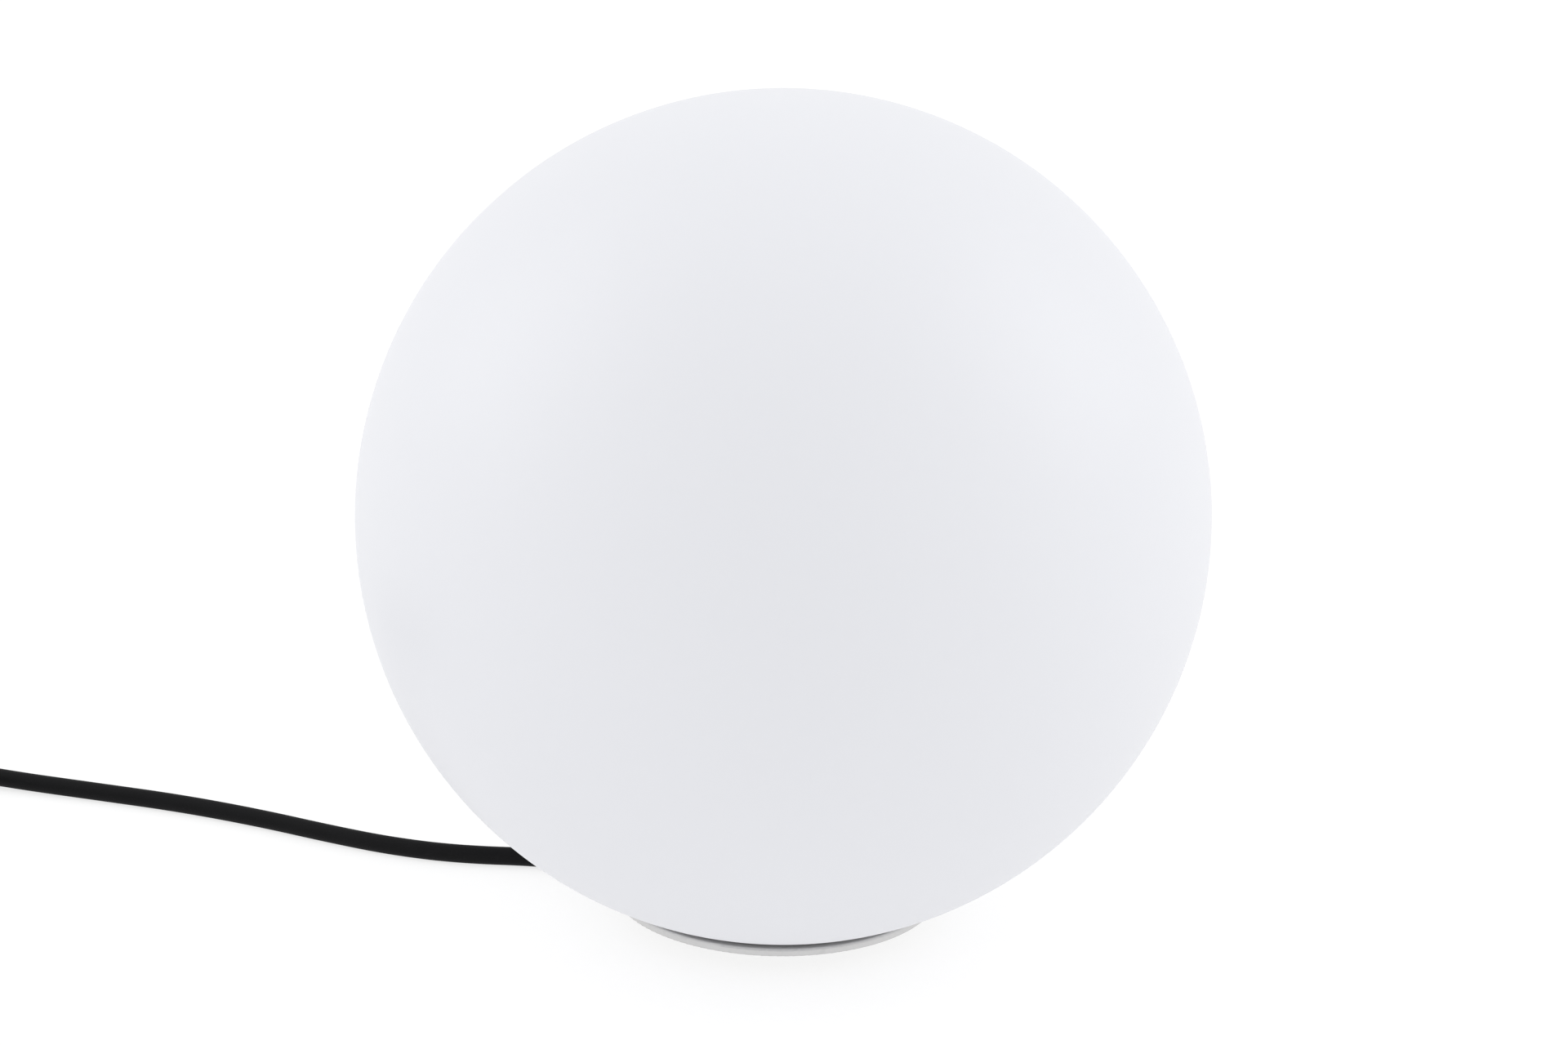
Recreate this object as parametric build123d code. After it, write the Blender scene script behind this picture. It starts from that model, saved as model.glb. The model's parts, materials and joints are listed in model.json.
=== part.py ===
from build123d import *
from math import ceil, cos, pi, radians, sin, sqrt, tan
import os

# Globe floor lamp for outdoors: an opal globe that screws onto a low round base, a lamp and
# its holder inside the globe, and a rubber mains lead that leaves under the base's rim.
# Millimetres. Z is the lamp's axis, z = 0 is the floor, and the lead leaves along -X.

# Globe
GLOBE_R = 150.0
GLOBE_WALL = 2.5
GLOBE_FLOOR_T = 3.0
FOOT_LAND = 2.6
NECK_WALL = 3.0
NECK_H = 17.0
NECK_FLANGE_W = 3.5
NECK_FLANGE_T = 2.0
NECK_RIDGE_UP = 6.0
GLOBE_PITCH = 6.0
GLOBE_RIDGE_H = 1.7
GLOBE_RIDGE_ROOT = 2.2
GLOBE_RIDGE_CREST = 1.4
GLOBE_THREAD_TURNS = 1.25

# Base
FLOOR_GAP = 7.0
RIM_W = 3.6
FLANGE_T = 2.8
FLANGE_EDGE = 0.7
COLLAR_R = 41.5
COLLAR_WALL = 3.0
COLLAR_H = 15.2
ROOF_T = 3.0
SKIRT_STEP = 4.5
SKIRT_WALL = 3.0
SKIRT_H = 4.4
CHANNEL_HALF = 6.6
CHANNEL_WALL = 2.4
CHANNEL_TOP = 18.0
LEAD_GROOVE_HALF = 5.0
LEAD_GROOVE_TOP = 7.6

# Bottom cover, its seal and feet
COVER_T = 2.6
SEAL_W = 2.4
FOOT_R = 6.0
FOOT_H = 3.2
FOOT_RECESS = 0.6
FOOT_CIRCLE = 31.0
FOOT_ANGLES = (30, 150, 210, 330)

# Globe seal
GLOBE_SEAL_LAND = 1.35
GLOBE_SEAL_W = 4.6
GLOBE_SEAL_T = 1.0

# Screws
SCREW_R = 1.4
SCREW_HEAD_R = 2.8
SCREW_HEAD_H = 1.6
SCREW_L = 10.0
RECESS_L = 3.2
RECESS_W = 0.8
RECESS_D = 0.9
BOSS_R = 3.6
BOSS_FLOOR = 1.0
COVER_SCREW_IN = 3.0
COVER_SCREW_ANGLES = (65, 115, 245, 295)
TOWER_SCREW_CIRCLE = 33.5
TOWER_SCREW_ANGLES = (90, 210, 330)
CLAMP_SCREW_Y = 8.0
HOLDER_SCREW_Y = 10.5

# Tower that carries the lampholder
TOWER_FLANGE_R = 37.5
TOWER_FLANGE_T = 2.5
TOWER_FOOT_R = 29.5
TOWER_TOP_R = 21.0
TOWER_WALL = 2.6
TOWER_H = 34.0
TOWER_TOP_T = 3.5

# Lampholder
HOLDER_R = 20.0
HOLDER_BORE_R = 14.5
HOLDER_FLOOR_T = 7.0
HOLDER_H = 39.0
SLEEVE_WALL = 0.8
SLEEVE_H = 22.0
SLEEVE_STAND = 8.0
STRIP_T = 0.5
STRIP_W = 5.0
TERMINAL_X = 10.8
TERMINAL_SCREW_L = 6.0
WIRE_X = 7.0
CONTACT_RISE = 4.6

# Lamp with a large screw cap
LAMP_PITCH = 3.629
LAMP_RIDGE_H = 0.9
LAMP_RIDGE_ROOT = 1.2
LAMP_RIDGE_CREST = 0.7
LAMP_THREAD_TURNS = 2.75
CAP_R = 12.0
CAP_WALL = 0.6
CAP_H = 19.5
CAP_RIDGE_UP = 2.5
TIP_R = 4.8
TIP_H = 1.8
INSULATOR_TIP_R = 5.6
INSULATOR_CONE_H = 4.2
INSULATOR_H = 8.6
LAMP_NECK_H = 11.5
LAMP_NECK_WALL = 2.0
LAMP_FOOT_R = 13.8
LAMP_SHOULDER_R = 14.5
LAMP_SHOULDER_H = 6.5
LAMP_TOP_R = 28.5
LAMP_HOUSING_H = 43.5
LAMP_RIM_H = 2.3
BULB_OVERHANG = 1.5
BULB_WALL = 1.2
BOARD_T = 1.6
CHIP_SIDE = 3.5
CHIP_T = 0.7
CHIP_COUNT = 10
CHIP_CIRCLE = 17.0
DRIVER_W = 14.0
DRIVER_T = 1.6
DRIVER_H = 38.0

# Mains lead
LEAD_D = 6.8
LEAD_TILT = 17.0
LEAD_LAND_X = -28.0
LEAD_TIP_RUN = 11.4
BOOT_L = 20.0
BOOT_ROOT_R = 5.2
BOOT_TIP_R = 4.2
BOOT_NECK_R = 4.5
BOOT_FLANGE_R = 5.6
BOOT_FLANGE_T = 2.5
BOOT_GROOVES = 3
BOOT_GROOVE_W = 1.4
BOOT_GROOVE_D = 0.5
GLAND_WALL = 3.0
CLAMP_L = 7.0
CLAMP_W = 22.0
CLAMP_GAP = 1.0
CLAMP_BAR_H = 5.0
CLAMP_STANDOFF = 1.5
JACKET_PAST_CLAMP = 2.0
WIRE_R = 1.1
WIRE_Y = 1.7
WIRE_UP_X = 22.6
WIRE_BEND = 3.5
WIRE_HOLE_R = 1.4
WIRE_STRAIGHT = 4.0
LIVE_CROSS_FROM = 24.0
LIVE_CROSS_TO = 12.0
LIVE_ASIDE = 5.0
NEUTRAL_LEAN = 18.0
ROOF_HOLE_R = 4.5

# Route of the lead on the floor, from where it lands to the coil: (x, y, height above its own lie)
ROUTE = [
    (-40.0, 0.25, 0.0),
    (-56.0, 1.0, 0.0),
    (-74.0, 1.8, 0.0),
    (-92.0, 0.2, 0.0),
    (-122.0, -10.0, 0.0),
    (-148.0, -13.1, 0.0),
    (-174.0, -12.0, 0.0),
    (-206.0, -9.0, 0.0),
    (-240.0, -8.4, 0.0),
    (-274.0, -11.0, 0.0),
    (-311.0, -15.0, 0.5),
    (-345.0, -16.0, 1.3),
    (-364.0, -16.0, 1.3),
]
ARC_SHARE = 0.45

# Coil of the put-away length, with its tie and plug
COIL_IN_R = 29.4
COIL_STEP = 7.4
COIL_LAYER = 7.4
COIL_TURNS = 3
COIL_CLIMB = 0.5
COIL_LEAD_OUT = 8.0
COIL_DIR_STEP = 1 / 64
TIE_T = 1.0
TIE_W = 8.0
TIE_GAP = 0.8
PLUG_BOOT_L = 32.0
PLUG_BOOT_TIP_R = 4.0
PLUG_BOOT_ROOT_R = 6.5
PLUG_BOOT_GROOVES = 5
PLUG_REAR_W = 18.0
PLUG_REAR_H = 15.0
PLUG_W = 34.0
PLUG_H = 24.0
PLUG_TAPER_L = 14.0
PLUG_L = 40.0
PLUG_EDGE = 1.5
PLUG_CORNER = 9.6
PLUG_REAR_CORNER = 6.0
GRIP_COUNT = 4
GRIP_STEP = 3.4
GRIP_W = 1.5
GRIP_D = 0.7
GRIP_FROM = 3.0
PIN_R = 2.4
PIN_L = 19.0
PIN_SPACING = 19.0
PIN_NOSE = 1.2

# Clearances
THREAD_GAP = 0.5
SEAT_GAP = 0.3
LAMP_GAP = 0.4
FIT_GAP = 0.15
HOLE_GAP = 0.1
RIDGE_SINK = 0.3
CUT_PAST = 1.0

# Heights and radii that follow from the sizes above
SEAT_Z = FLOOR_GAP + FLANGE_T
GLOBE_LOW = SEAT_Z + SEAT_GAP
COLLAR_TOP = SEAT_Z + COLLAR_H
COLLAR_IN = COLLAR_R - COLLAR_WALL
CEILING_Z = COLLAR_TOP - ROOF_T
NECK_R = COLLAR_R + GLOBE_RIDGE_H + THREAD_GAP
NECK_OUT = NECK_R + NECK_WALL
MOUTH_R = NECK_OUT + FIT_GAP
GLOBE_SEAL_IN = MOUTH_R + GLOBE_SEAL_LAND
GLOBE_SEAL_OUT = GLOBE_SEAL_IN + GLOBE_SEAL_W
GLOBE_FOOT_R = GLOBE_SEAL_OUT + FOOT_LAND
GLOBE_Z = GLOBE_LOW + sqrt(GLOBE_R**2 - GLOBE_FOOT_R**2)
FLANGE_R = GLOBE_FOOT_R + RIM_W
SKIRT_R = COLLAR_R + SKIRT_STEP
COVER_SCREW_CIRCLE = COLLAR_IN - COVER_SCREW_IN
NECK_RIDGE_LOW = GLOBE_LOW + NECK_RIDGE_UP
COLLAR_RIDGE_LOW = NECK_RIDGE_LOW - GLOBE_PITCH / 2
COVER_LOW = FLOOR_GAP - SKIRT_H
COVER_TOP = COVER_LOW + COVER_T
COVER_R = SKIRT_R - SKIRT_WALL - 2 * FIT_GAP
SEAL_MID_R = (COLLAR_IN + COVER_R) / 2
TOWER_TOP = COLLAR_TOP + TOWER_H
HOLDER_FLOOR = TOWER_TOP + HOLDER_FLOOR_T
HOLDER_TOP = TOWER_TOP + HOLDER_H
SLEEVE_LOW = HOLDER_FLOOR + SLEEVE_STAND
SLEEVE_IN = CAP_R + LAMP_RIDGE_H + LAMP_GAP
CONTACT_TOP = HOLDER_FLOOR + CONTACT_RISE + STRIP_T
TIP_LOW = CONTACT_TOP + SEAT_GAP
INSULATOR_LOW = TIP_LOW + TIP_H + FIT_GAP
CAP_LOW = INSULATOR_LOW + INSULATOR_CONE_H + FIT_GAP
CAP_TOP = CAP_LOW + CAP_H
CAP_IN = CAP_R - CAP_WALL
LAMP_RIDGE_LOW = CAP_LOW + CAP_RIDGE_UP
HOUSING_TOP = CAP_TOP + LAMP_HOUSING_H
BOARD_LOW = HOUSING_TOP - LAMP_RIM_H
BULB_R = LAMP_TOP_R + BULB_OVERHANG
BULB_Z = HOUSING_TOP + sqrt(BULB_R**2 - LAMP_TOP_R**2)
LEAD_R = LEAD_D / 2
TILT = radians(LEAD_TILT)
COIL_OUT_R = COIL_IN_R + COIL_TURNS * COIL_STEP
COIL_LOW_Z = LEAD_R + ROUTE[-1][2]
COIL_TOP_Z = COIL_LOW_Z + COIL_LAYER
COIL_X = ROUTE[-1][0] - LEAD_D
TIE_SLACK = ROUTE[-1][2] - TIE_T
COIL_Y = ROUTE[-1][1] - COIL_OUT_R
PLUG_Y = COIL_Y - COIL_OUT_R
PLUG_BOOT_X = COIL_X + COIL_LEAD_OUT
PLUG_X = PLUG_BOOT_X + PLUG_BOOT_L
PLUG_FACE_X = PLUG_X + PLUG_L

# The lead inside the base climbs along a straight axis from where it lands on the floor.
# Lengths along this axis are counted from the landing point.
LEAD_AXIS = Plane(
    origin=(LEAD_LAND_X, 0, LEAD_R),
    x_dir=(0, 1, 0),
    z_dir=(cos(TILT), 0, sin(TILT)),
)
BOOT_ROOT_S = LEAD_TIP_RUN + BOOT_L
BOOT_FLANGE_S = BOOT_ROOT_S + GLAND_WALL
BOOT_END_S = BOOT_FLANGE_S + BOOT_FLANGE_T
CLAMP_S = BOOT_END_S + CLAMP_STANDOFF
JACKET_END_S = CLAMP_S + CLAMP_L + JACKET_PAST_CLAMP


def lead_x(along, z):
    """X of the plane square to the lead's axis at a length along it, at a height."""
    return LEAD_LAND_X + (along - (z - LEAD_R) * sin(TILT)) / cos(TILT)


def lead_point(along):
    """Point on the lead's straight axis inside the base."""
    return Vector(LEAD_LAND_X + along * cos(TILT), 0, LEAD_R + along * sin(TILT))


def disc(radius, low, high, hole=0.0, at=(0.0, 0.0)):
    """Upright disc or ring between two heights."""
    face = Circle(radius)
    if hole:
        face = face - Circle(hole)
    return Pos(at[0], at[1], low) * extrude(face, high - low)


def block(x, y, z):
    """Box between two limits on each axis."""
    size = [high - low for low, high in (x, y, z)]
    middle = [(high + low) / 2 for low, high in (x, y, z)]
    return Pos(*middle) * Box(*size)


def turned(points):
    """Solid of revolution about Z from (radius, height) points."""
    face = make_face(Polyline(*points, close=True))
    return revolve(Plane.XZ * face, Axis.Z)


def on_circle(radius, angles):
    """Places round the lamp's axis."""
    return [(radius * cos(radians(a)), radius * sin(radians(a))) for a in angles]


def group(solids):
    """Separate solids that share one node."""
    return Compound(children=list(solids))


def screw(at, head_low, head_up, length, head_r=SCREW_HEAD_R):
    """Screw with a cross recess on an upright axis. head_up says whether its head is at its upper end."""
    head_top = head_low + SCREW_HEAD_H
    if head_up:
        shank = disc(SCREW_R, head_low - length, head_low, at=at)
        recess = (head_top - RECESS_D, head_top)
    else:
        shank = disc(SCREW_R, head_top, head_top + length, at=at)
        recess = (head_low, head_low + RECESS_D)
    half_l, half_w = RECESS_L / 2, RECESS_W / 2
    slot = block((-half_l, half_l), (-half_w, half_w), recess)
    cross = Pos(at[0], at[1], 0) * (slot + Rot(0, 0, 90) * slot)
    return shank + disc(head_r, head_low, head_top, at=at) - cross


def thread_ridge(radius, height, pitch, low, turns, root, crest, inward=False):
    """Helical ridge with a trapezoid section on a round wall, outside it or inside it."""
    side = -1 if inward else 1
    path = Pos(0, 0, low) * Helix(pitch, pitch * turns, radius)
    start = path @ 0
    section = Plane(origin=start, x_dir=(start.X, start.Y, 0), z_dir=path % 0)
    outline = Polyline(
        (-side * RIDGE_SINK, -root / 2),
        (side * height, -crest / 2),
        (side * height, crest / 2),
        (-side * RIDGE_SINK, root / 2),
        close=True,
    )
    return sweep(section * make_face(outline), path=path, is_frenet=True)


def ball_r(radius, centre_z, z):
    """Radius of a ball's section at a height."""
    return sqrt(radius**2 - (z - centre_z) ** 2)


def ball_shell_face(radius, wall, centre_z, low, foot):
    """Half section of a ball shell that is open at the bottom. foot joins its outer and inner edges."""
    top = centre_z + radius
    edge = (ball_r(radius, centre_z, low), low)
    inner = radius - wall
    inner_edge = (ball_r(inner, centre_z, foot[-1][1]), foot[-1][1])
    side = Line((0, top - wall), (0, top))
    outside = ThreePointArc((0, top), (radius, centre_z), edge)
    inside = ThreePointArc(inner_edge, (inner, centre_z), (0, top - wall))
    floor = Polyline(edge, *foot, inner_edge)
    return Plane.XZ * make_face([side, outside, floor, inside])


def globe():
    """Opal globe with a flat foot, a hole for the threaded ring and a seal groove under it."""
    foot = [(MOUTH_R, GLOBE_LOW), (MOUTH_R, GLOBE_LOW + GLOBE_FLOOR_T)]
    shell = revolve(ball_shell_face(GLOBE_R, GLOBE_WALL, GLOBE_Z, GLOBE_LOW, foot), Axis.Z)
    groove_top = SEAT_Z + SEAT_GAP / 2 + GLOBE_SEAL_T + SEAT_GAP
    groove_in = GLOBE_SEAL_IN - SEAT_GAP
    return shell - disc(GLOBE_SEAL_OUT + SEAT_GAP, FLOOR_GAP, groove_top, hole=groove_in)


def globe_ring():
    """Threaded ring set into the globe's foot, with a flange that lies on the foot inside."""
    flange_low = GLOBE_LOW + GLOBE_FLOOR_T
    ring = disc(NECK_OUT, GLOBE_LOW, GLOBE_LOW + NECK_H, hole=NECK_R)
    ring += disc(NECK_OUT + NECK_FLANGE_W, flange_low, flange_low + NECK_FLANGE_T, hole=NECK_R)
    return ring + thread_ridge(
        NECK_R,
        GLOBE_RIDGE_H,
        GLOBE_PITCH,
        NECK_RIDGE_LOW,
        GLOBE_THREAD_TURNS,
        GLOBE_RIDGE_ROOT,
        GLOBE_RIDGE_CREST,
        inward=True,
    )


def globe_gasket():
    """Flat seal between the globe's foot and the flange."""
    low = SEAT_Z + SEAT_GAP / 2
    return disc(GLOBE_SEAL_OUT, low, low + GLOBE_SEAL_T, hole=GLOBE_SEAL_IN)


def clamp_saddle_x():
    """Limits in X of the lead clamp, which stands square to the floor."""
    low = lead_point(CLAMP_S).X
    return (low, low + CLAMP_L)


def lead_rod(radius, start, end):
    """Round bar on the lead's axis inside the base."""
    return LEAD_AXIS * Pos(0, 0, start) * extrude(Circle(radius), end - start)


def clamp_split_z():
    """Height of the lead's axis in the middle of the clamp."""
    return lead_point(CLAMP_S + CLAMP_L / 2).Z


def before_lead_plane(along):
    """Space on the floor's side of the plane square to the lead's axis at a length along it."""
    reach = 2 * FLANGE_R
    return LEAD_AXIS * Pos(0, 0, along - reach) * Box(2 * reach, 2 * reach, 2 * reach)


def base_plate():
    """Flange, threaded collar, roof, skirt, lead channel and screw bosses in one moulding."""
    flange = disc(FLANGE_R, FLOOR_GAP, SEAT_Z, hole=COLLAR_IN)
    rim = flange.edges().filter_by(GeomType.CIRCLE).group_by(SortBy.RADIUS)[-1]
    plate = fillet(rim, FLANGE_EDGE)
    plate += disc(COLLAR_R, FLOOR_GAP, COLLAR_TOP, hole=COLLAR_IN)
    plate += disc(COLLAR_R, CEILING_Z, COLLAR_TOP)
    plate += disc(SKIRT_R, COVER_LOW, FLOOR_GAP, hole=SKIRT_R - SKIRT_WALL)
    room = disc(COLLAR_R - COLLAR_WALL / 2, FLOOR_GAP, COLLAR_TOP)
    outer_half = CHANNEL_HALF + CHANNEL_WALL
    far = FLANGE_R + LEAD_D
    all_round = (-far, far)
    tunnel = block(all_round, (-outer_half, outer_half), (FLOOR_GAP, CHANNEL_TOP + CHANNEL_WALL))
    hollow = block(all_round, (-CHANNEL_HALF, CHANNEL_HALF), (0, CHANNEL_TOP))
    plate += tunnel & before_lead_plane(BOOT_FLANGE_S) & room
    plate -= hollow & before_lead_plane(BOOT_ROOT_S) & disc(COLLAR_IN, 0, COLLAR_TOP)
    for at in on_circle(COVER_SCREW_CIRCLE, COVER_SCREW_ANGLES):
        plate += disc(BOSS_R, COVER_TOP, COLLAR_TOP - ROOF_T / 2, at=at)
        plate -= disc(SCREW_R + HOLE_GAP, COVER_TOP, COVER_TOP + SCREW_L, at=at)
    for at in on_circle(TOWER_SCREW_CIRCLE, TOWER_SCREW_ANGLES):
        plate += disc(BOSS_R, COLLAR_TOP - SCREW_L - BOSS_FLOOR, COLLAR_TOP - ROOF_T / 2, at=at)
        plate -= disc(SCREW_R + HOLE_GAP, COLLAR_TOP - SCREW_L, COLLAR_TOP, at=at)
    split = clamp_split_z() + CLAMP_GAP / 2
    plate += block(clamp_saddle_x(), (-CLAMP_W / 2, CLAMP_W / 2), (split, COLLAR_TOP - ROOF_T / 2))
    middle_x = sum(clamp_saddle_x()) / 2
    for y in (-CLAMP_SCREW_Y, CLAMP_SCREW_Y):
        plate -= disc(SCREW_R + HOLE_GAP, split, CEILING_Z, at=(middle_x, y))
    plate -= lead_rod(LEAD_R + FIT_GAP, CLAMP_S - CLAMP_L, JACKET_END_S + CLAMP_L)
    plate -= lead_rod(BOOT_NECK_R + FIT_GAP, BOOT_ROOT_S - CUT_PAST, BOOT_FLANGE_S + CUT_PAST)
    plate -= disc(ROOF_HOLE_R, CEILING_Z - CUT_PAST, COLLAR_TOP + CUT_PAST, at=(WIRE_UP_X, 0))
    groove = (-far, -COLLAR_IN + COLLAR_WALL)
    plate -= block(groove, (-LEAD_GROOVE_HALF, LEAD_GROOVE_HALF), (0, LEAD_GROOVE_TOP))
    return plate + thread_ridge(
        COLLAR_R,
        GLOBE_RIDGE_H,
        GLOBE_PITCH,
        COLLAR_RIDGE_LOW,
        GLOBE_THREAD_TURNS,
        GLOBE_RIDGE_ROOT,
        GLOBE_RIDGE_CREST,
    )


def bottom_cover():
    """Plate that closes the wiring room from below, cut away at the lead's channel."""
    cover = disc(COVER_R, COVER_LOW, COVER_TOP)
    channel_end = lead_x(BOOT_ROOT_S, COVER_LOW)
    far = 2 * COVER_R
    cover -= block((-far, channel_end), (-CHANNEL_HALF, CHANNEL_HALF), (0, FLOOR_GAP))
    for at in on_circle(COVER_SCREW_CIRCLE, COVER_SCREW_ANGLES):
        cover -= disc(SCREW_HEAD_R + FIT_GAP, 0, COVER_LOW + SCREW_HEAD_H, at=at)
        cover -= disc(SCREW_R + HOLE_GAP, 0, COVER_TOP, at=at)
    for at in on_circle(FOOT_CIRCLE, FOOT_ANGLES):
        cover -= disc(FOOT_R + FIT_GAP, 0, COVER_LOW + FOOT_RECESS, at=at)
    return cover


def cover_gasket():
    """Seal that follows the wiring room's wall round the collar and along the channel."""
    far = 2 * COVER_R
    half = CHANNEL_HALF + FIT_GAP
    outer = disc(SEAL_MID_R + SEAL_W / 2, COVER_TOP, FLOOR_GAP)
    outer -= block((-far, lead_x(BOOT_ROOT_S, COVER_TOP) + FIT_GAP), (-half, half), (0, FLOOR_GAP))
    inner = disc(SEAL_MID_R - SEAL_W / 2, COVER_TOP, FLOOR_GAP)
    inner_half = CHANNEL_HALF + CHANNEL_WALL - FIT_GAP
    inner -= block(
        (-far, lead_x(BOOT_FLANGE_S, FLOOR_GAP) - FIT_GAP), (-inner_half, inner_half), (0, FLOOR_GAP)
    )
    return outer - inner


def cover_screws():
    """Screws that hold the bottom cover."""
    places = on_circle(COVER_SCREW_CIRCLE, COVER_SCREW_ANGLES)
    return group(screw(at, COVER_LOW, False, SCREW_L) for at in places)


def rubber_feet():
    """Round pads in shallow recesses of the bottom cover."""
    top = COVER_LOW + FOOT_RECESS
    return group(disc(FOOT_R, top - FOOT_H, top, at=at) for at in on_circle(FOOT_CIRCLE, FOOT_ANGLES))


def holder_tower():
    """Hollow cone that lifts the lampholder to the middle of the globe."""
    flange_top = COLLAR_TOP + TOWER_FLANGE_T
    under = TOWER_TOP - TOWER_TOP_T
    tower = turned(
        [
            (TOWER_FLANGE_R, COLLAR_TOP),
            (TOWER_FLANGE_R, flange_top),
            (TOWER_FOOT_R, flange_top),
            (TOWER_TOP_R, under),
            (TOWER_TOP_R, TOWER_TOP),
            (0, TOWER_TOP),
            (0, under),
            (TOWER_TOP_R - TOWER_WALL, under),
            (TOWER_FOOT_R - TOWER_WALL, COLLAR_TOP),
        ]
    )
    for at in on_circle(TOWER_SCREW_CIRCLE, TOWER_SCREW_ANGLES):
        tower -= disc(SCREW_R + HOLE_GAP, COLLAR_TOP, flange_top, at=at)
    for y in (-HOLDER_SCREW_Y, HOLDER_SCREW_Y):
        tower -= disc(SCREW_R + HOLE_GAP, under, TOWER_TOP, at=(0, y))
    for x in (-WIRE_X, WIRE_X):
        tower -= disc(WIRE_HOLE_R, under, TOWER_TOP, at=(x, 0))
    return tower


def tower_screws():
    """Screws that hold the tower on the base's roof."""
    low = COLLAR_TOP + TOWER_FLANGE_T
    places = on_circle(TOWER_SCREW_CIRCLE, TOWER_SCREW_ANGLES)
    return group(screw(at, low, True, SCREW_L + TOWER_FLANGE_T) for at in places)


def lampholder_body():
    """Moulded cup of the lampholder with its floor's screw and wire holes."""
    cup = turned(
        [
            (0, TOWER_TOP),
            (HOLDER_R, TOWER_TOP),
            (HOLDER_R, HOLDER_TOP),
            (HOLDER_BORE_R, HOLDER_TOP),
            (HOLDER_BORE_R, HOLDER_FLOOR),
            (0, HOLDER_FLOOR),
        ]
    )
    for y in (-HOLDER_SCREW_Y, HOLDER_SCREW_Y):
        cup -= disc(SCREW_R + HOLE_GAP, TOWER_TOP, HOLDER_FLOOR, at=(0, y))
    for side in (-1, 1):
        cup -= disc(WIRE_HOLE_R, TOWER_TOP, HOLDER_FLOOR, at=(side * WIRE_X, 0))
        cup -= disc(SCREW_R + HOLE_GAP, TOWER_TOP, HOLDER_FLOOR, at=(side * TERMINAL_X, 0))
    return cup


def lampholder_screws():
    """Screws through the lampholder's floor into the tower's top."""
    length = HOLDER_FLOOR_T + TOWER_TOP_T
    return group(screw((0, y), HOLDER_FLOOR, True, length) for y in (-HOLDER_SCREW_Y, HOLDER_SCREW_Y))


def lampholder_sleeve():
    """Threaded metal sleeve that the lamp's cap screws into."""
    sleeve = disc(SLEEVE_IN + SLEEVE_WALL, SLEEVE_LOW, SLEEVE_LOW + SLEEVE_H, hole=SLEEVE_IN)
    return sleeve + thread_ridge(
        SLEEVE_IN,
        LAMP_RIDGE_H,
        LAMP_PITCH,
        LAMP_RIDGE_LOW + LAMP_PITCH / 2,
        LAMP_THREAD_TURNS,
        LAMP_RIDGE_ROOT,
        LAMP_RIDGE_CREST,
        inward=True,
    )


def strip(points):
    """Bent metal strip of even width from its side outline in X and Z."""
    face = Plane.XZ * make_face(Polyline(*points, close=True))
    return extrude(face, STRIP_W / 2, both=True)


def terminal_hole(x):
    """Hole for a terminal screw in a contact strip."""
    return disc(SCREW_R + HOLE_GAP, HOLDER_FLOOR, HOLDER_FLOOR + STRIP_T, at=(x, 0))


def centre_contact():
    """Spring strip that rises to the tip of the lamp's cap."""
    low, high = HOLDER_FLOOR, HOLDER_FLOOR + CONTACT_RISE
    end = -TERMINAL_X - STRIP_W / 2
    spring = strip(
        [
            (end, low),
            (-STRIP_W, low),
            (-STRIP_W / 4, high),
            (STRIP_W / 2, high),
            (STRIP_W / 2, high + STRIP_T),
            (-STRIP_W / 4 - STRIP_T, high + STRIP_T),
            (-STRIP_W - STRIP_T, low + STRIP_T),
            (end, low + STRIP_T),
        ]
    )
    return spring - terminal_hole(-TERMINAL_X)


def side_contact():
    """Strip that stands up to the lower edge of the threaded sleeve."""
    low = HOLDER_FLOOR
    outer = SLEEVE_IN + SLEEVE_WALL - FIT_GAP
    upright = strip(
        [
            (STRIP_W, low),
            (outer, low),
            (outer, SLEEVE_LOW),
            (outer - STRIP_T, SLEEVE_LOW),
            (outer - STRIP_T, low + STRIP_T),
            (STRIP_W, low + STRIP_T),
        ]
    )
    return upright - terminal_hole(TERMINAL_X)


def terminal_screws():
    """Screws that clamp the contact strips to the lampholder's floor."""
    low = HOLDER_FLOOR + STRIP_T
    head_r = (HOLDER_BORE_R - TERMINAL_X + SCREW_R) / 2
    return group(
        screw((x, 0), low, True, TERMINAL_SCREW_L, head_r) for x in (-TERMINAL_X, TERMINAL_X)
    )


def bulb_tip_contact():
    """Round metal eyelet at the bottom of the lamp's cap."""
    nose = TIP_H / 2
    return turned(
        [
            (0, TIP_LOW),
            (TIP_R - nose, TIP_LOW),
            (TIP_R, TIP_LOW + nose),
            (TIP_R, TIP_LOW + TIP_H),
            (0, TIP_LOW + TIP_H),
        ]
    )


def bulb_insulator():
    """Dark insulating cone between the eyelet and the cap's thread."""
    wide = CAP_IN - FIT_GAP
    cone_top = INSULATOR_LOW + INSULATOR_CONE_H
    top = INSULATOR_LOW + INSULATOR_H
    return turned(
        [(0, INSULATOR_LOW), (INSULATOR_TIP_R, INSULATOR_LOW), (wide, cone_top), (wide, top), (0, top)]
    )


def bulb_cap():
    """Threaded metal shell of the lamp's cap."""
    shell = disc(CAP_R, CAP_LOW, CAP_TOP, hole=CAP_IN)
    return shell + thread_ridge(
        CAP_R,
        LAMP_RIDGE_H,
        LAMP_PITCH,
        LAMP_RIDGE_LOW,
        LAMP_THREAD_TURNS,
        LAMP_RIDGE_ROOT,
        LAMP_RIDGE_CREST,
    )


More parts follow.
